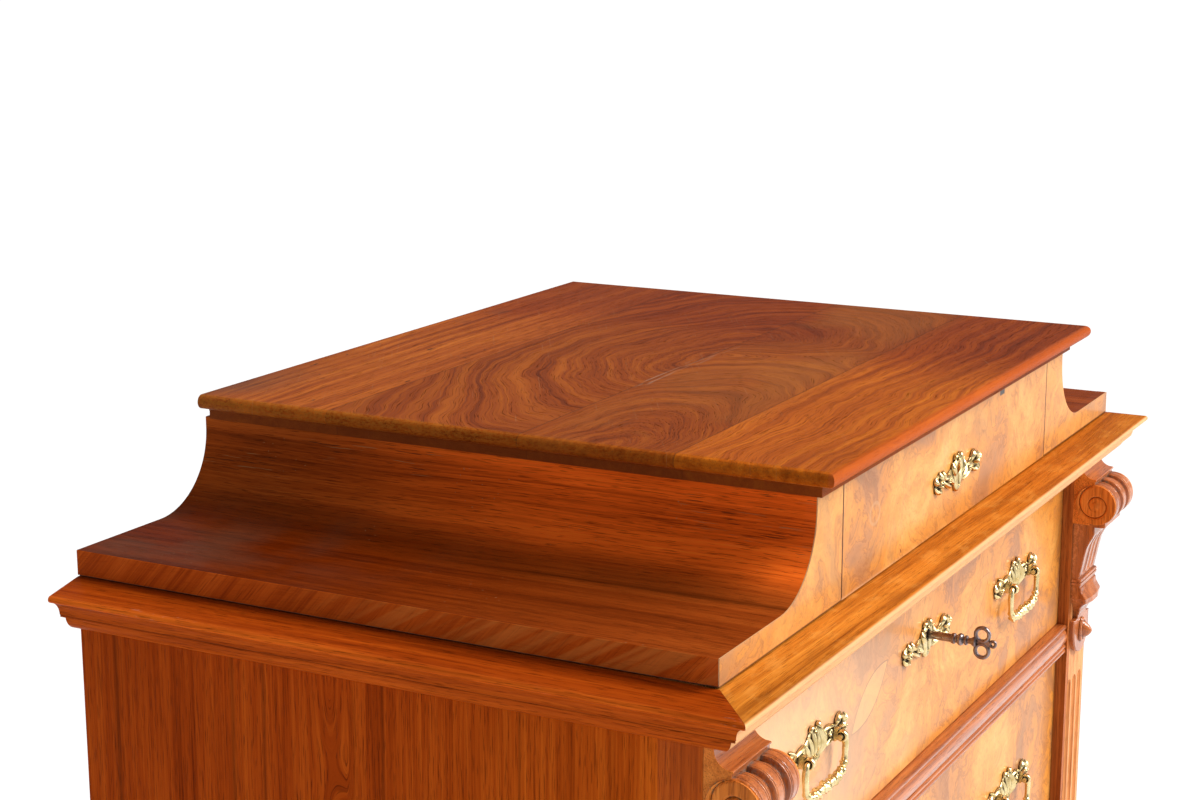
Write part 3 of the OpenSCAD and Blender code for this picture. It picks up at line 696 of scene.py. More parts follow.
sides, moulding_front, moulding_side = upright_panels(), front_mouldings(), side_mouldings()
frame_walnut, burr = stiles(), burr_fronts()
foot_walnut = glossy_walnut("walnut_feet", "z", (0.58, 0.19, 0.05), (0.43, 0.115, 0.024), (0.22, 0.048, 0.008))
rail_walnut = glossy_walnut("walnut_rails", "x", (0.66, 0.22, 0.055), (0.47, 0.125, 0.026), (0.24, 0.05, 0.009))
pine_x, pine_y, pine_z = (softwood("softwood_" + axis, axis) for axis in "xyz")
gilt = metal("gilt_brass", (0.84, 0.68, 0.36), (0.56, 0.4, 0.15), (0.045, 0.024, 0.009), 0.17)
old_brass = metal("bolt_brass", (0.7, 0.48, 0.18), (0.45, 0.28, 0.1), (0.06, 0.04, 0.02), 0.3)
steel = metal("lock_iron", (0.3, 0.27, 0.25), (0.17, 0.14, 0.12), (0.03, 0.02, 0.015), 0.42)
key_iron = metal("key_iron", (0.3, 0.235, 0.23), (0.15, 0.105, 0.1), (0.018, 0.01, 0.008), 0.2)

NODE_FINISH = {
    "side_panel_left": sides, "side_panel_right": sides, "pilaster_left": frame_walnut, "pilaster_right": frame_walnut,
    "drawer_rails": rail_walnut, "drawer_runners": pine_y, "back_panel": pine_z, "bottom_board": pine_x,
    "carcase_top": pine_x, "step_back": pine_x, "step_fascias": fascia_veneer(), "feet": foot_walnut,
}
PART_FINISH = {"front": burr, "box": pine_y, "lock_case": steel, "lock_bolt": old_brass}
for name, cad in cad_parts.items():
    own = NODE_FINISH.get(name) or next((f for part, f in PART_FINISH.items() if name.endswith("_" + part)), gilt)
    cad.data.materials.clear()
    cad.data.materials.append(own)


# ---- Carcase and step ----

SIDES = ((-1, "left"), (1, "right"))
SLAB_NOSE, SLAB_OUT = 5.65, 19.4
BOLT_ROOM, POCKET_DEEP = 0.6, 11
step_half = slab_high[0] - SLAB_OUT
slab_thick = slab_high[2] - slab_low[2]
slab_edge = outline(
    [(-5, 0), (3.4, 0), (4.7, 0), (5, 0.3), (5, 6.4)], arc(9, 6.4, 3.7, 180, 90, 6),
    arc(SLAB_OUT - SLAB_NOSE, slab_thick - SLAB_NOSE, SLAB_NOSE, -90, 90, 18), [(11.5, slab_thick), (-40, slab_thick)])


def slab():
    """The slab's edge carried round its left, front and right sides: p outward moves a front corner along both
    directions and a back corner along x alone. The pocket for the small drawer's bolt is a box whose corners go with
    the slab's own."""
    bolt_low, bolt_high = corners("step_drawer_lock_bolt")
    p, z = slab_edge[:, 0], slab_edge[:, 1] + slab_low[2]
    rings = []
    for side, back in ((-1, True), (-1, False), (1, False), (1, True)):
        x, y = side * (bolt_high[0] + BOLT_ROOM), bolt_high[1] + BOLT_ROOM if back else bolt_low[1] - BOLT_ROOM
        pocket = [(x, y, slab_low[2] + POCKET_DEEP), (x, y, slab_low[2])]
        edge = np.stack([side * (step_half + p), np.where(back, slab_high[1], STEP_FRONT - p), z], -1)
        rings.append(np.vstack([pocket, edge]))
    return skin(np.stack(rings), loop=True)


piece("polished_top", [slab()], [slab_boards()], "top_slab", 40)

COVE_R, LEDGE, SHOULDER_WALL = 60, 20, 22
cove_x, step_tall = step_half + COVE_R, step_high[2] - DECK
shoulder = softened(outline(
    [(step_half - SHOULDER_WALL, 0), (HALF - 2, 0), (HALF - 2, 1), (HALF, 1), (HALF, LEDGE)],
    arc(cove_x, LEDGE + COVE_R, COVE_R, -90, -180, 40),
    [(step_half, step_tall), (step_half - SHOULDER_WALL, step_tall)]), 0.7)
cove_walnut = coved_shoulders()
for side, label in SIDES:
    shape = shoulder * (side, 1) + (0, DECK)
    piece(f"coved_shoulder_{label}", [run(shape, step_low[1], BACK, "y", (0, 0, 3 * side))], [cove_walnut],
          f"step_side_{label}", 30)

CORNICE_H = DECK - corners("cornice")[0][2]
cornice_edge = outline(
    [(0, 0), (30.6, -6.4)], arc(30.4, -9, 2.6, 80, -80, 8), arc(33, -23, 11.4, 106, 180, 10),
    [(21, -23.4), (21, -25.2), (15.8, -25.2)], arc(3.5, -25.5, 12.3, 0, -78, 10),
    [(1.2, -37.8), (1.2, -CORNICE_H), (0, -CORNICE_H)])
PLINTH_OUT, PLINTH_HOLLOW = plinth_high[0] - HALF, 12
plinth_tall = plinth_high[2] - plinth_low[2]
plinth_edge = outline([(0, 0), (PLINTH_OUT, 0), (PLINTH_OUT, plinth_tall - PLINTH_HOLLOW)],
                      arc(PLINTH_OUT, plinth_tall, PLINTH_HOLLOW, -90, -180, 10), [(0, plinth_tall)])
MITRE = 0.15  # the open joint at each mitre


def moulding(edge, top):
    """A moulding's mitred lengths: p outward moves a corner along both directions where it is mitred and along x alone
    at the back. The front length also reaches straight back to the pilasters' ground."""
    p, z = edge[:, 0], edge[:, 1] + top
    lengths = []
    for side in (-1, 1):
        ends = [np.stack([side * (HALF + p), y, z], -1) for y in (np.full_like(p, BACK), STEP_FRONT - p + MITRE)]
        lengths.append(skin(np.stack(ends), grain="yxz", offset=(0, 40 * side, 0)))
    front = np.where(p <= 0.01, -CARCASE_FRONT, p)
    ends = [np.stack([side * (HALF + p - MITRE), STEP_FRONT - front, z], -1) for side in (-1, 1)]
    return lengths + [skin(np.stack(ends)) | {"finish": 1}]


for name, edge, soft, top in (("cornice", cornice_edge, 0.6, DECK), ("plinth", plinth_edge, 0.8, plinth_low[2])):
    piece(f"{name}_moulding", moulding(softened(edge, soft), top), [moulding_side, moulding_front],
          name, 30)


# ---- Corbels ----

CORBEL_HALF = 30
VOLUTE_R, VOLUTE_OUT, VOLUTE_DOWN, SCROLL_R, SCROLL_PITCH, DISC_PROUD = 20.3, 11, 77.4, 19.6, 7, 1.75
CHANNEL_IN, CHANNEL_OUT, CHANNEL_EDGE, ROUNDING = 6.4, 14.6, 0.22, 0.8
GROOVES = (4.4, 8.3, 12.7, 17, 19.2, 26.6)


def volute():
    """A barrel with a scrolled disc at each end. Between three lobes the radius drops, over a smooth step, into two
    channels with crowned floors, and the lobes are grooved. A disc's groove follows r = R exp(turn / pitch) inwards."""
    rim = np.linspace(CORBEL_HALF - ROUNDING, CORBEL_HALF, 3)
    across = np.concatenate([-rim[::-1], np.linspace(1 - CORBEL_HALF, CORBEL_HALF - 1, 175), rim])
    out = np.abs(across)
    inside, outside = (1 / (1 + np.exp(-(out - at) / CHANNEL_EDGE)) for at in (CHANNEL_IN, CHANNEL_OUT))
    middle = (CHANNEL_IN + CHANNEL_OUT) / 2
    channel = (inside - outside) * (4.4 - 1.1 * (1 - ((out - middle) / (middle - CHANNEL_IN)) ** 2))
    fine = sum(0.65 * np.exp(-((out - at) / 0.42) ** 2) for at in GROOVES)
    barrel = (VOLUTE_R - channel - fine - np.maximum(0, out - rim[0]) ** 2 * 0.9 - 0.5)[:, None]
    t = whole_turn(112)
    rings = np.concatenate([[0.05], np.linspace(0.6, VOLUTE_R - 1.1, 44)])[:, None]
    turns = (np.log(rings / SCROLL_R) * SCROLL_PITCH - (t - np.pi / 2)) / (2 * np.pi)
    away = np.abs(turns - np.round(turns)) * 2 * np.pi / SCROLL_PITCH * rings
    lift = np.exp(-(rings / 3.4) ** 4) - 1.6 * np.exp(-(away / 0.95) ** 2) * np.clip((rings - 5.4) / 2, 0, 1)
    disc = np.stack([-CORBEL_HALF - DISC_PROUD - lift, rings * np.cos(t), rings * np.sin(t)], -1)
    body = np.stack(np.broadcast_arrays(across[:, None], barrel * np.cos(t), barrel * np.sin(t)), -1)
    grid = np.concatenate([disc, body, (disc * (-1, 1, 1))[::-1]])
    return skin(grid + (0, -VOLUTE_OUT, -VOLUTE_DOWN), grain="zxy")


TONGUE_HALF, TONGUE_DOWN, TONGUE_FRONT, SHAFT_HALF, FLUTE_HALF = 25, 209, 5.6, 27, 4.6
# How far down, how wide to each side, and how far behind the step's front
DROP = np.array([
    (66, 27, -9), (80, 27, -20), (99.6, 27, -20), (100, 27, -19.4), (100.6, 27, -10.4), (101, 27, -10), (108, 27, -10),
    (112, 27, -8.3), (117, 27, -5.6), (122, 27, -3.3), (131, 27, -1.3), (141, 27, 0.5), (153.6, 27, 3),
    (154, 27.2, 2.6), (154.4, 27.8, 0.8), (156.4, 28, 0.4), (156.8, 27.4, 1.5), (157.4, 27.4, 1.5), (157.8, 28, 0.4),
    (160, 28, 0.6), (160.4, 26.4, 2), (162.6, 26, 1.6), (163.4, 26, 0.4), (168, 25.8, -2.6), (174, 25.4, -6.4),
    (179, 22.5, -6.8), (183, 19, -2.6), (188, 15.6, 1), (193, 14.4, 4.6), (194, 14.4, 5.6), (196.6, 14.4, 5.6),
    (197, 14.8, 5.6), (197.6, 24.4, 5.6), (198, TONGUE_HALF, 5.6), (TONGUE_DOWN, TONGUE_HALF, TONGUE_FRONT)])


def drop():
    """The shaft below the volute, its bands, the faceted cushion and the round-ended tongue, carved from the front: a
    width and a depth at each height, plus three flutes and the cushion's facets."""
    down = np.unique(np.concatenate([DROP[:, 0], np.arange(66, TONGUE_DOWN, 1.3)]))
    half, front = np.interp(down, DROP[:, 0], DROP[:, 1]), np.interp(down, DROP[:, 0], DROP[:, 2])
    ends = np.sin(np.linspace(0, 0.497 * np.pi, 16))[1:]
    down = np.append(down, TONGUE_DOWN + TONGUE_HALF * ends)[:, None]
    half = np.append(half, TONGUE_HALF * np.sqrt(1 - ends ** 2) + 0.3)
    front = np.append(front, np.full(len(ends), TONGUE_FRONT))
    u = np.concatenate([[-1, -0.985], np.linspace(-0.96, 0.96, 65), [0.985, 1]])
    x, z = half[:, None] * u, -np.broadcast_to(down, (len(down), len(u)))
    y = front[:, None] + np.where(np.abs(u) > 0.98, 0.5, 0)
    fluted = np.clip((down - 110) / 3, 0, 1) * np.clip((152 - down) / 3, 0, 1)
    for at in (-0.5, 0, 0.5):
        y = y + fluted * 1.5 * np.sqrt(np.maximum(0, 1 - ((u - at) * SHAFT_HALF / FLUTE_HALF) ** 2))
    facet = np.clip((down - 163) / 4, 0, 1) * np.clip((193 - down) / 6, 0, 1)
    y = y + facet * 3.2 * np.maximum(0, np.abs(u) - 0.35) * (1 + 0.6 * np.clip((down - 174) / 10, 0, 1))
    y = y + np.clip((down - 198) / 1.5, 0, 1) * (np.abs(u) > 0.93) * 0.6
    ends, away = x[:, [0, -1]], np.minimum(y[:, [0, -1]] + 1.6, CARCASE_FRONT - 0.5)
    near = np.stack([ends, away, z[:, :2]], -1)
    back = np.stack([ends, np.full_like(ends, CARCASE_FRONT), z[:, :2]], -1)
    grid = np.concatenate([back[:, :1], near[:, :1], np.stack([x, y, z], -1), near[:, 1:], back[:, 1:]], 1)
    return skin(grid, grain="zxy")


BUTTON_DOWN, BUTTON_WIDER, BUTTON_PROUDER, BUTTON_TALLER = 212, 1.12, 1.9, 1.28


def corbel():
    """The coved cap in one with the block behind the volute, then the volute, the drop and the oval button."""
    cap = outline([(CARCASE_FRONT, -40), (3.4, -40)], arc(-8.6, -41, 12, 4, -90, 12),
                  [(-10.2, -53.2), (-10.2, -54.6), (-9, -55.2), (-9, -66), (-6, -72), (-6, -98), (CARCASE_FRONT, -98)])
    bead = np.array([(8.4, 0.4), (8.8, -0.6), (8.2, -1.4), (7, -1.6), (6.4, -1.2), (5.6, -2.2), (3.6, -4.2),
                     (1.6, -5.4), (0.1, -5.8)])
    button = turned(bead * (BUTTON_WIDER, BUTTON_PROUDER), (0, 6, -BUTTON_DOWN), "y", 36)
    button["points"][:, 2] = (button["points"][:, 2] + BUTTON_DOWN) * BUTTON_TALLER - BUTTON_DOWN
    button["convex"] = convexity(button["points"], button["quads"])
    return [run(softened(cap, 0.35, guard=0.9), -CORBEL_HALF, CORBEL_HALF), volute(), drop(), button]


corbel_skins, carved_walnut = corbel(), carved_finish()
for side, label in SIDES:
    piece(f"carved_corbel_{label}", moved(corbel_skins, (side * (HALF - CORBEL_HALF), STEP_FRONT, DECK)),
          [carved_walnut], f"corbel_{label}", 32)


# ---- Brasses ----

def swept(line, half, out, around):
    """A section carried along a flat line: half wide to each side, and out from the front."""
    uv = line[:, None] + normals(line)[:, None] * (half * np.cos(around))[..., None]
    return facing(uv[..., 0], out, uv[..., 1])


def cast_leaf(path, half, thick, ribs, low, steps=18, around=14):
    """A lens section carried along a smooth path of (across, up), as wide and thick at each place as the two lists say.
    Its front is a half ellipse with ribs along it and its back is nearly flat."""
    path = np.asarray(path, float)
    s = np.linspace(0, 1, steps)
    power = min(len(path) - 1, 5)
    powers = np.polynomial.polynomial.polyvander
    line = powers(s, power) @ np.linalg.lstsq(powers(np.linspace(0, 1, len(path)), power), path, rcond=None)[0]
    w = np.interp(s, np.linspace(0, 1, len(half)), half)
    w = w * np.sqrt(np.clip(np.sin(np.pi * (0.06 + 0.9 * s)) * 1.15, 0.05, 1))
    t = np.interp(s, np.linspace(0, 1, len(thick)), thick)
    a = whole_turn(around)
    out = np.where(np.sin(a) > 0, np.sin(a) * (1 - ribs * np.cos(3 * a) ** 2), 0.25 * np.sin(a))
    out = low + t[:, None] * out * np.sqrt(np.clip(np.sin(np.pi * (0.04 + 0.92 * s)), 0.05, 1))[:, None]
    return swept(line, w[:, None], out, a)


def leaves(rows, by=1):
    """Cast leaves from rows of path, half widths, thicknesses, ribs and height, each path multiplied across."""
    return [cast_leaf(np.array(path) * (by, 1), *rest) for path, *rest in rows]


def curl(centre, r, start, sweep, half, thick, low):
    """A scroll that winds inwards: its radius shrinks evenly to a third over the sweep in degrees."""
    s = np.linspace(0, 1, 26)
    t, radius = np.radians(start + s * sweep), r * (1 - 0.66 * s)
    line = np.stack([centre[0] + radius * np.cos(t), centre[1] + radius * np.sin(t)], 1)
    a = whole_turn(12)
    s = s[:, None]
    out = np.where(np.sin(a) > 0, np.sin(a), 0.3 * np.sin(a)) * thick * (0.6 + 0.6 * s)
    return swept(line, half * (0.55 + 0.6 * np.sin(np.pi * s ** 0.7)), low + out, a)


def rosette(centre, r, tall, petals, phase, hollow):
    """A boss whose radius swells at each petal and whose height rises to a ring and sinks inside it."""
    rho = np.array([0.02, 0.18, 0.34, 0.5, 0.66, 0.8, 0.9, 0.97, 1, 0.98])[:, None]
    height = np.array([1 - hollow, 1 - hollow * 0.9, 1 - hollow * 0.4, 1, 0.96, 0.78, 0.5, 0.22, 0.05, 0])[:, None]
    t = whole_turn(12 * petals)
    petal = np.cos(petals * t + phase)
    far = r * rho * (1 + 0.16 * petal * rho)
    return facing(centre[0] + far * np.cos(t), tall * height * (1 + 0.14 * petal * np.sin(np.pi * rho)),
                  centre[1] + far * np.sin(t))


PLATE_THICK = 1.5


def flat_plate(top, bottom):
    """A plate between edges of (across, up) above and below, rounded over towards the front."""
    across = np.linspace(top[0][0], top[-1][0], 72)
    above, below = (np.stack([across, np.interp(across, *np.array(edge).T)], 1) for edge in (top, bottom))
    edge = np.concatenate([above, below[::-1]])
    inner = edge.mean(0) + (edge - edge.mean(0)) * (0.985, 0.9)
    rings = np.stack([edge, edge, inner])
    return facing(rings[..., 0], np.array([[0], [0.6], [1]]) * PLATE_THICK, rings[..., 1])


def sized(skins, by):
    """Copies of skins, stretched from the origin."""
    return [one | {"points": one["points"] * by} for one in skins]


PIVOT_OUT, POST_X, EYE_DOWN = 10, 31, -2
PULL_SIZE, ESCUTCHEON_SIZE = (0.98, 1, 0.82), (0.93, 1, 0.8)
PULL_TOP = [(-57, 1), (-56, 6), (-50, 10), (-43, 7), (-38, 3.5), (-31, 6), (-24, 5), (-17, 8), (-12, 13), (-7, 16.5),
            (-3, 13.5), (1, 17.5), (6, 15), (10, 11), (16, 7), (24, 5), (31, 6), (38, 3.5), (43, 7), (49, 10), (56, 6),
            (57, 1)]
PULL_LOW = [(-57, -1), (-54, -6), (-48, -8), (-42, -5), (-36, -3.5), (-31, -8), (-25, -4), (-18, -7), (-10, -10),
            (0, -11), (10, -9), (18, -6), (25, -4), (31, -8), (36, -3.5), (42, -5), (48, -9), (54, -6), (57, -1)]
PLUME = [
    ([(3, -12), (5.5, -2), (3.5, 9), (1, 17)], [2.6, 5, 4.8, 3], [4.5, 7.6, 7.6, 4.6], 0.42, 1, 24, 24),
    ([(-2, -12), (-5.5, -3), (-6, 8), (-8, 17)], [1.6, 2.6, 2.8, 2.4], [3, 4.6, 4.6, 3.6], 0, 1),
    ([(-4, -11), (-9, -4), (-10, 4), (-14, 12)], [1.6, 2.6, 2.8, 2.2], [2.6, 4.4, 4.4, 3.4], 0.3, 0.8),
    ([(-6, -9), (-13, -5), (-16, 1), (-19, 7)], [1.4, 2.4, 2.6, 2], [2.4, 3.8, 4, 3], 0.3, 0.6),
    ([(9, -9), (12.5, -2), (12, 6), (9.5, 14)], [1.4, 2, 2.2, 1.8], [2.4, 3.6, 3.6, 2.8], 0, 0.8),
    ([(10, -8), (16, -4), (17, 2), (16, 8)], [1.4, 2, 2.2, 1.6], [2.2, 3.2, 3.4, 2.6], 0, 0.6),
    ([(-12, -9), (-4, -13), (4, -13), (12, -9)], [1.6, 2.6, 2.6, 1.6], [2, 3.4, 3.4, 2], 0.3, 0.6)]
PULL_ARM = [
    ([(14, -6), (22, -8.5), (30, -5.5), (38, -4)], [1.6, 2.4, 2.6, 1.8], [2.4, 3.4, 3.6, 2.6], 0.2, 0.6),
    ([(16, 4), (23, 6.5), (31, 5), (40, 2)], [1.4, 2.2, 2.4, 1.8], [2.2, 3.4, 3.6, 2.8], 0.2, 0.6),
    ([(44, -3), (49, -6.5), (54, -6), (58, -2)], [1.6, 2.8, 2.8, 1.6], [2.8, 4.6, 4.4, 2.4], 0.35, 0.8),
    ([(52, -1), (56, 1), (58, 4), (57, 8)], [1.6, 2.4, 2.4, 1.4], [2.8, 4.2, 4, 2.2], 0.3, 0.8),
    ([(40, 1), (41, 6), (44, 9.5), (49, 12)], [1.4, 2.2, 2.4, 1.6], [2.6, 4.2, 4.2, 2.6], 0.3, 0.8)]
SHIELD_ARM = [
    ([(9, -9), (15, -6), (20, -1), (22, 6)], [1.8, 2.8, 3, 2], [2.8, 4.4, 4.2, 2.8], 0.3, 0.8),
    ([(8, -4), (11, 3), (13, 8), (12, 13)], [1.8, 2.6, 2.6, 1.8], [2.8, 4.4, 4.4, 2.8], 0.25, 1),
    ([(14, -10), (22, -8.5), (30, -4), (37, -1)], [1.6, 2.4, 2.4, 1.6], [2.2, 3.6, 3.6, 2.4], 0.2, 0.6),
    ([(17, 3), (25, 2.5), (32, 2), (39, 5)], [1.6, 2.6, 2.4, 1.8], [2.4, 4, 3.8, 2.8], 0.25, 0.6),
    ([(42, -5), (47, -7.5), (53, -6), (57, -1)], [1.6, 2.8, 2.8, 1.6], [2.8, 4.6, 4.4, 2.4], 0.35, 0.8),
    ([(50, 0), (55, 2), (57, 5), (55, 9)], [1.6, 2.4, 2.4, 1.4], [2.8, 4.4, 4.2, 2.2], 0.3, 0.8)]
SHIELD_RIGHT = [([(37, 2), (38, 7), (41, 11), (47, 13)], [1.4, 2.4, 2.4, 1.4], [2.6, 4.2, 4.2, 2.4], 0.3, 0.8)]
SHIELD_LEFT = [([(40, -1), (44, 3), (46, 8), (45, 12)], [1.6, 2.8, 2.8, 1.6], [2.8, 4.6, 4.4, 2.4], 0.3, 0.8),
               ([(38, 0), (37, 4), (38, 8), (36, 11)], [1.4, 2.2, 2.4, 1.4], [2.6, 4, 4, 2.2], 0.3, 0.8)]
SHIELD_TOP = [(8, 6), (14, 7.5), (20, 7), (26, 4.5), (32, 5), (38, 8.5), (46, 10), (53, 8), (56, 2)]
SHIELD_LOW = [(8, -8), (15, -9), (22, -7), (28, -4.5), (34, -4.5), (42, -7), (49, -7), (55, -4), (56, 0)]


def pull_plate():
    """A long drawer's pull: plate, ribbed plume and leaves, scrolls out to a boss at each end, and two hooded eyes for
    the bail, each on a shank through the front with a nut behind."""
    made = [flat_plate(PULL_TOP, PULL_LOW), *leaves(PLUME), curl((-7.5, 16.5), 3.2, 200, -300, 1.5, 3.6, 1),
            curl((4.5, 17), 3, -20, 300, 1.4, 3.4, 1)]
    for s in (-1, 1):
        made += [*leaves(PULL_ARM, s), rosette((s * 27, 0.5), 3.8, 3.6, 4, 0.6, 0.25),
                 rosette((s * 50.5, -2.2), 3, 5.6, 5, 0.2, 0.35),
                 curl((s * 47.5, 2.5), 6.6, 90 + s * 70, -s * 330, 2.3, 4.6, 0.8)]
    made = sized(made, PULL_SIZE)
    eye = outline(arc(3.45, 0, 1.32, 0, 360, 16)[:-1]) * (1, 1.85)
    hood = softened(outline([(-0.3, -4.2), (-0.3, 4.6), (-6, 5.4)],
                            [(-8.2, 5), (-6.9, 3.4), (-6.2, 0), (-6.9, -3.4), (-5.4, -4.6)]) + (0, EYE_DOWN), 0.6)
    nut = np.array([(-4.5, -4.5), (4.5, -4.5), (4.5, 4.5), (-4.5, 4.5)])
    for x in (-POST_X, POST_X):
        made += [turned(eye, (x, -PIVOT_OUT, EYE_DOWN), "x", 28, hollow=True), run(hood, x - 2.4, x + 2.4),
                 turned([(2.5, 26.4), (2.5, 0.2)], (x, 0, EYE_DOWN), "y", 18),
                 run(softened(nut + (x, EYE_DOWN), 0.8), 22.05, 25.4, "y")]
    return made


def escutcheon(half, key_up):
    """A keyhole plate: a raised shield round the hole, which is a circle joined to a slit, two curls and a leaf above,
    leaves to its left and a scroll to its right."""
    t = whole_turn(120)
    cos, sin = np.cos(t), np.sin(t)
    slit = np.minimum(1.7 / np.maximum(np.abs(cos), 1e-6), 13.3 / np.maximum(np.abs(sin), 1e-6))
    hole = np.where(sin < 0, np.maximum(4.4, slit), 4.4)
    shield = 1 / np.sqrt((cos / 10.5) ** 2 + (sin / np.where(sin < 0, 19, 10.5)) ** 2)
    shield = shield * (1 + 0.05 * np.cos(7 * t + 0.5))
    share, out = np.array([(1, 0), (1, 1.4), (0.88, 2.6), (0.5, 3.4), (0.16, 3), (0, 2.2), (0, 0)]).T[..., None]
    r = hole + (shield - hole) * share
    rim = facing(r * cos, out, key_up + r * sin, hollow=True)
    made = [curl((-5.2, key_up + 12), 3.3, 190, -300, 1.5, 3.6, 1),
            curl((5.2, key_up + 12.4), 3.3, -10, 300, 1.5, 3.6, 1),
            cast_leaf([(0, key_up + 8.5), (0.4, key_up + 12), (-0.3, key_up + 16)], [1.8, 2.4, 1.4], [3.2, 4.4, 2.4],
                      0.2, 1.2, 14, 12)]
    for s in (-1, 1):
        q = s * half / 58
        made += [flat_plate(*(sorted((q * a, b) for a, b in edge) for edge in (SHIELD_TOP, SHIELD_LOW))),
                 *leaves(SHIELD_ARM, q), rosette((q * 27, -1), 3.4, 4.4, 5, 0.3 * s, 0.3)]
        if s > 0:
            made += [*leaves(SHIELD_RIGHT, q), curl((q * 45, 3.5), 6.4, 160, -330, 2.3, 4.8, 0.8)]
        else:
            made += [*leaves(SHIELD_LEFT, q), rosette((q * 48.5, 0.5), 4.4, 5.4, 5, 0.9, 0.45)]
    return [rim] + sized(made, ESCUTCHEON_SIZE)


# Knots on a bail: the distance from its middle, how wide and tall each bell is, and how many leaves it has
KNOTS = ((0, 3.6, 2.3, 5), (8.6, 2, 1.2, 4), (15, 2.6, 1.9, 4), (22, 2.2, 1.5, 3), (30.5, 2.4, 1.5, 4),
         (37.5, 1.2, 0.9, 2))


def bail():
    """A round rod carried from pin to pin with leafy knots. A knot swells as a bell curve of the distance along it,
    and its leaves are waves round the rod that turn as they go along it."""
    right = outline([(26, 0), (33.5, 0)], arc(34.2, -3, 3, 90, 0, 8), [(37.2, -3), (37.9, -9), (37.2, -15.5)],
                    arc(24.2, -15.5, 13, 0, -90, 16), [(12, -28.5), (0, -28.5)])
    line = np.vstack([right, (right * (-1, 1))[::-1][1:]])
    far = np.concatenate([[0], np.cumsum(np.linalg.norm(np.diff(line, axis=0), axis=1))])
    at = np.linspace(0, far[-1], 190)
    line = np.stack([np.interp(at, far, line[:, 0]), np.interp(at, far, line[:, 1])], 1)
    mid = np.abs(at - far[-1] / 2)[:, None]
    a = whole_turn(24)
    plain = np.interp(mid, [0, 40, 44, 54, 60, far[-1] / 2], [2.5, 2.5, 2.3, 2.7, 2.2, 1.95])
    swell = sum(np.exp(-((mid - place) / wide) ** 2) * tall * (1 + 0.34 * np.cos(leaf * a + 0.9 * mid + place))
                for place, wide, tall, leaf in KNOTS)
    r = plain + np.minimum(swell, 2.9)
    return swept(line, r, -r * np.sin(a), a)


def middle_of(drawer):
    """The middle height of a drawer's front, and its face."""
    low, high = corners(drawer + "_front")
    return (low[2] + high[2]) / 2, low[1]


def brasses(number, skins):
    """A drawer's plates, which ride on it."""
    drawer = f"drawer_{number}" if number != "step" else "step_drawer"
    piece(f"cast_brasses_{number}", skins, [gilt], f"{drawer}_brasses", 50, body=drawer)


PULL_X, PLATE_UP, ESCUTCHEON_UP, STEP_ESCUTCHEON_UP, PIVOT_UP = 234, 8, 17, -4.3, 6
pull_skins, bail_skins, long_escutcheon = pull_plate(), [bail()], escutcheon(58, 5.4)
for number in range(1, 6):
    z, face = middle_of(f"drawer_{number}")
    fitted = moved(long_escutcheon, (0, face, z + ESCUTCHEON_UP))
    for side, label in SIDES:
        fitted += moved(pull_skins, (side * PULL_X, face, z + PLATE_UP))
        own = f"bail_{number}_{label}"
        hung = moved(bail_skins, (side * PULL_X, face - PIVOT_OUT, z + PIVOT_UP))
        piece(f"cast_{own}", hung, [gilt], own, 50, body=own)
    brasses(number, fitted)
z, face = middle_of("step_drawer")
brasses("step", moved(escutcheon(56, 4), (0, face, z + STEP_ESCUTCHEON_UP)))


# The key's outline: the radius, and how far behind the drawer's face
BARREL = [(0.1, 19), (2.8, 19), (3.4, 18.2), (3.4, -22.2), (4.3, -22.9), (4.5, -24.1), (4.3, -25.3), (3.3, -26),
          (3.2, -27.4), (4.2, -28), (5, -29.2), (5.1, -30.4), (4.5, -31.6), (2.9, -32.4), (2.7, -33.2), (3.9, -33.9),
          (4.2, -34.8), (3.9, -35.7), (2.5, -36.5), (2.35, -38), (3, -39.4), (4.2, -41), (4.6, -42.4), (4, -43.6),
          (0.1, -44.4)]
# The bow's rings: how far out and up each middle is, its radius and its wire's
LOOPS = ((48, 6.8, 5.6, 1.65), (48, -6.8, 5.6, 1.65), (56.9, 0, 2.35, 1.2))
WEB = [(-43.2, -3.2), (-43.2, 3.2), (-46, 1.6), (-48, 1.35), (-50, 1.6), (-54.2, 2.6), (-54.6, 0), (-54.2, -2.6),
       (-50, -1.6), (-48, -1.35), (-46, -1.6)]
BIT = [(10, -2.6), (18, -2.6), (18, -12.3), (15.2, -12.3), (15.2, -9.4), (13, -9.4), (13, -12.3), (10, -12.3)]
KEY_UP = 22.4


def key():
    """The key: turned barrel, web, bit, and a bow of loops, each a circle carried round a circle."""
    made = [turned(BARREL, (0, 0, 0), "y", 32)]
    t, a = whole_turn(44)[:, None], whole_turn(14)
    for out, up, r, wire in LOOPS:
        far = r + wire * np.cos(a)
        made.append(facing(1.25 * wire * np.sin(a), out - far * np.cos(t), up + far * np.sin(t), hollow=True))
    for shape, half in ((WEB, 1.5), (BIT, 1.3)):
        made.append(run(softened(outline(shape), 0.3, guard=50), -half, half))
    return made


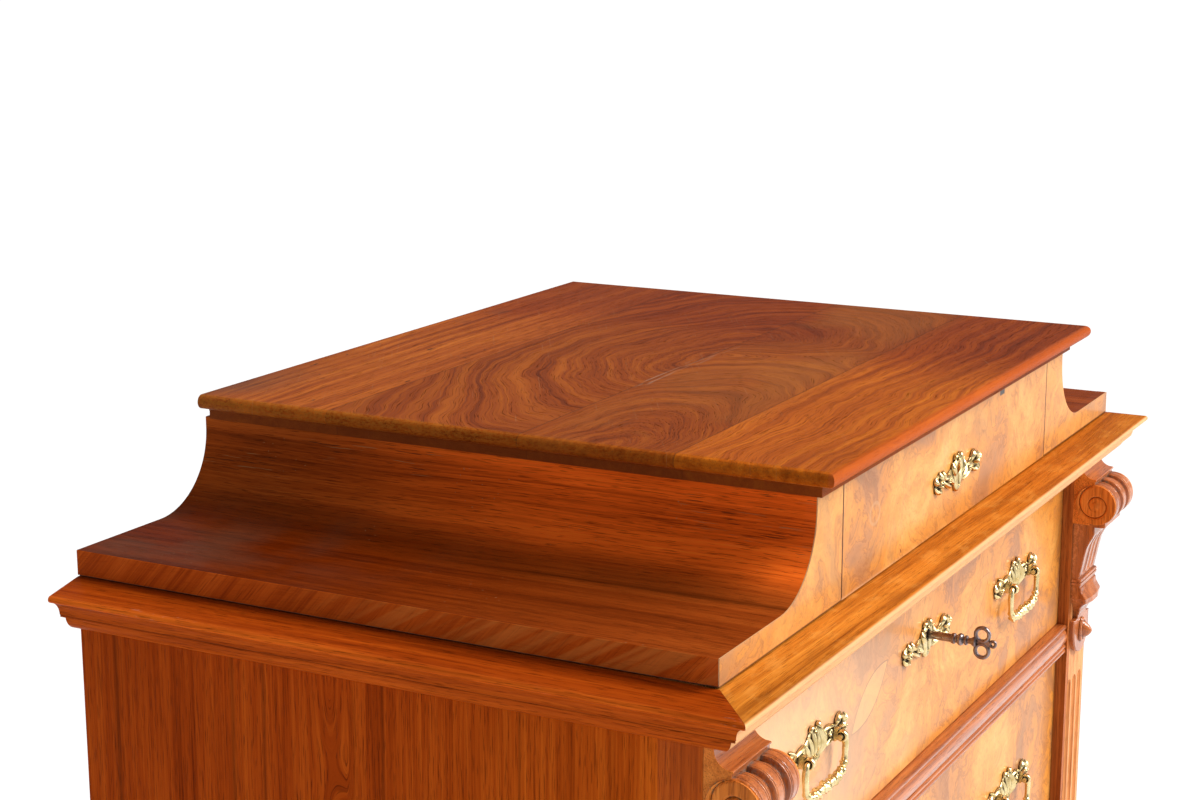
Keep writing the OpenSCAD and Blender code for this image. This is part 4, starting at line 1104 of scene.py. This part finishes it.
z, face = middle_of("drawer_1")
piece("iron_key", moved(key(), (0, face, z + KEY_UP)), [key_iron], "key", 40, body="key")


# ---- Stage, light and camera ----

FLOOR_REACH, FLOOR_GREY, WORLD_LIGHT = 60, 0.97, 0.3


def white_floor():
    f = Finish("studio_white")
    f.colour = f.mix((FLOOR_GREY,) * 3, (FLOOR_GREY * 0.97,) * 3, f.noise(f.place, 0.7, 2))
    f.rough = 0.9
    return f.done(specular=0.1)


def lamp(name, kind, place, turn, energy, **settings):
    data = bpy.data.lights.new(name, kind)
    data.energy = energy
    for key, value in settings.items():
        setattr(data, key, value)
    stood(placed(name, data), place, turn)


def stood(made, place, turn):
    """Puts a light or the camera in its place, turned by angles in degrees."""
    made.location, made.rotation_euler = place, Euler([math.radians(a) for a in turn])


floor_mesh = bpy.data.meshes.new("studio_floor")
floor_mesh.from_pydata([(x * FLOOR_REACH, y * FLOOR_REACH, 0) for x, y in ((-1, -1), (1, -1), (1, 1), (-1, 1))], [],
                       [(0, 1, 2, 3)])
floor_mesh.materials.append(white_floor())
floor = placed("studio_floor", floor_mesh)

scene = bpy.context.scene
scene.world = bpy.data.worlds.new("studio")
scene.world.use_nodes = True
sky = scene.world.node_tree
seen, level = sky.nodes.new("ShaderNodeLightPath"), sky.nodes.new("ShaderNodeMapRange")
level.inputs["To Min"].default_value = WORLD_LIGHT
sky.links.new(seen.outputs["Is Camera Ray"], level.inputs["Value"])
sky.links.new(level.outputs["Result"], sky.nodes["Background"].inputs["Strength"])
sky.nodes["Background"].inputs["Color"].default_value = (1, 1, 1, 1)

lamp("window_light", "SUN", (0, -3, 4), (46, 0, 24), 3.7, angle=math.radians(30))
lamp("front_softbox", "AREA", (1.5, -2.6, 1.9), (72, 0, 30), 30, shape="RECTANGLE", size=2, size_y=1.6)

camera_data = bpy.data.cameras.new("camera")
camera_data.lens, camera_data.sensor_width, camera_data.clip_end = 66.674, 36, 300
scene.camera = placed("camera", camera_data)
stood(scene.camera, (-1.64143, -0.79344, 1.69783), (77.5119, 0.077, -61.9917))
scene.view_settings.view_transform = "Standard"
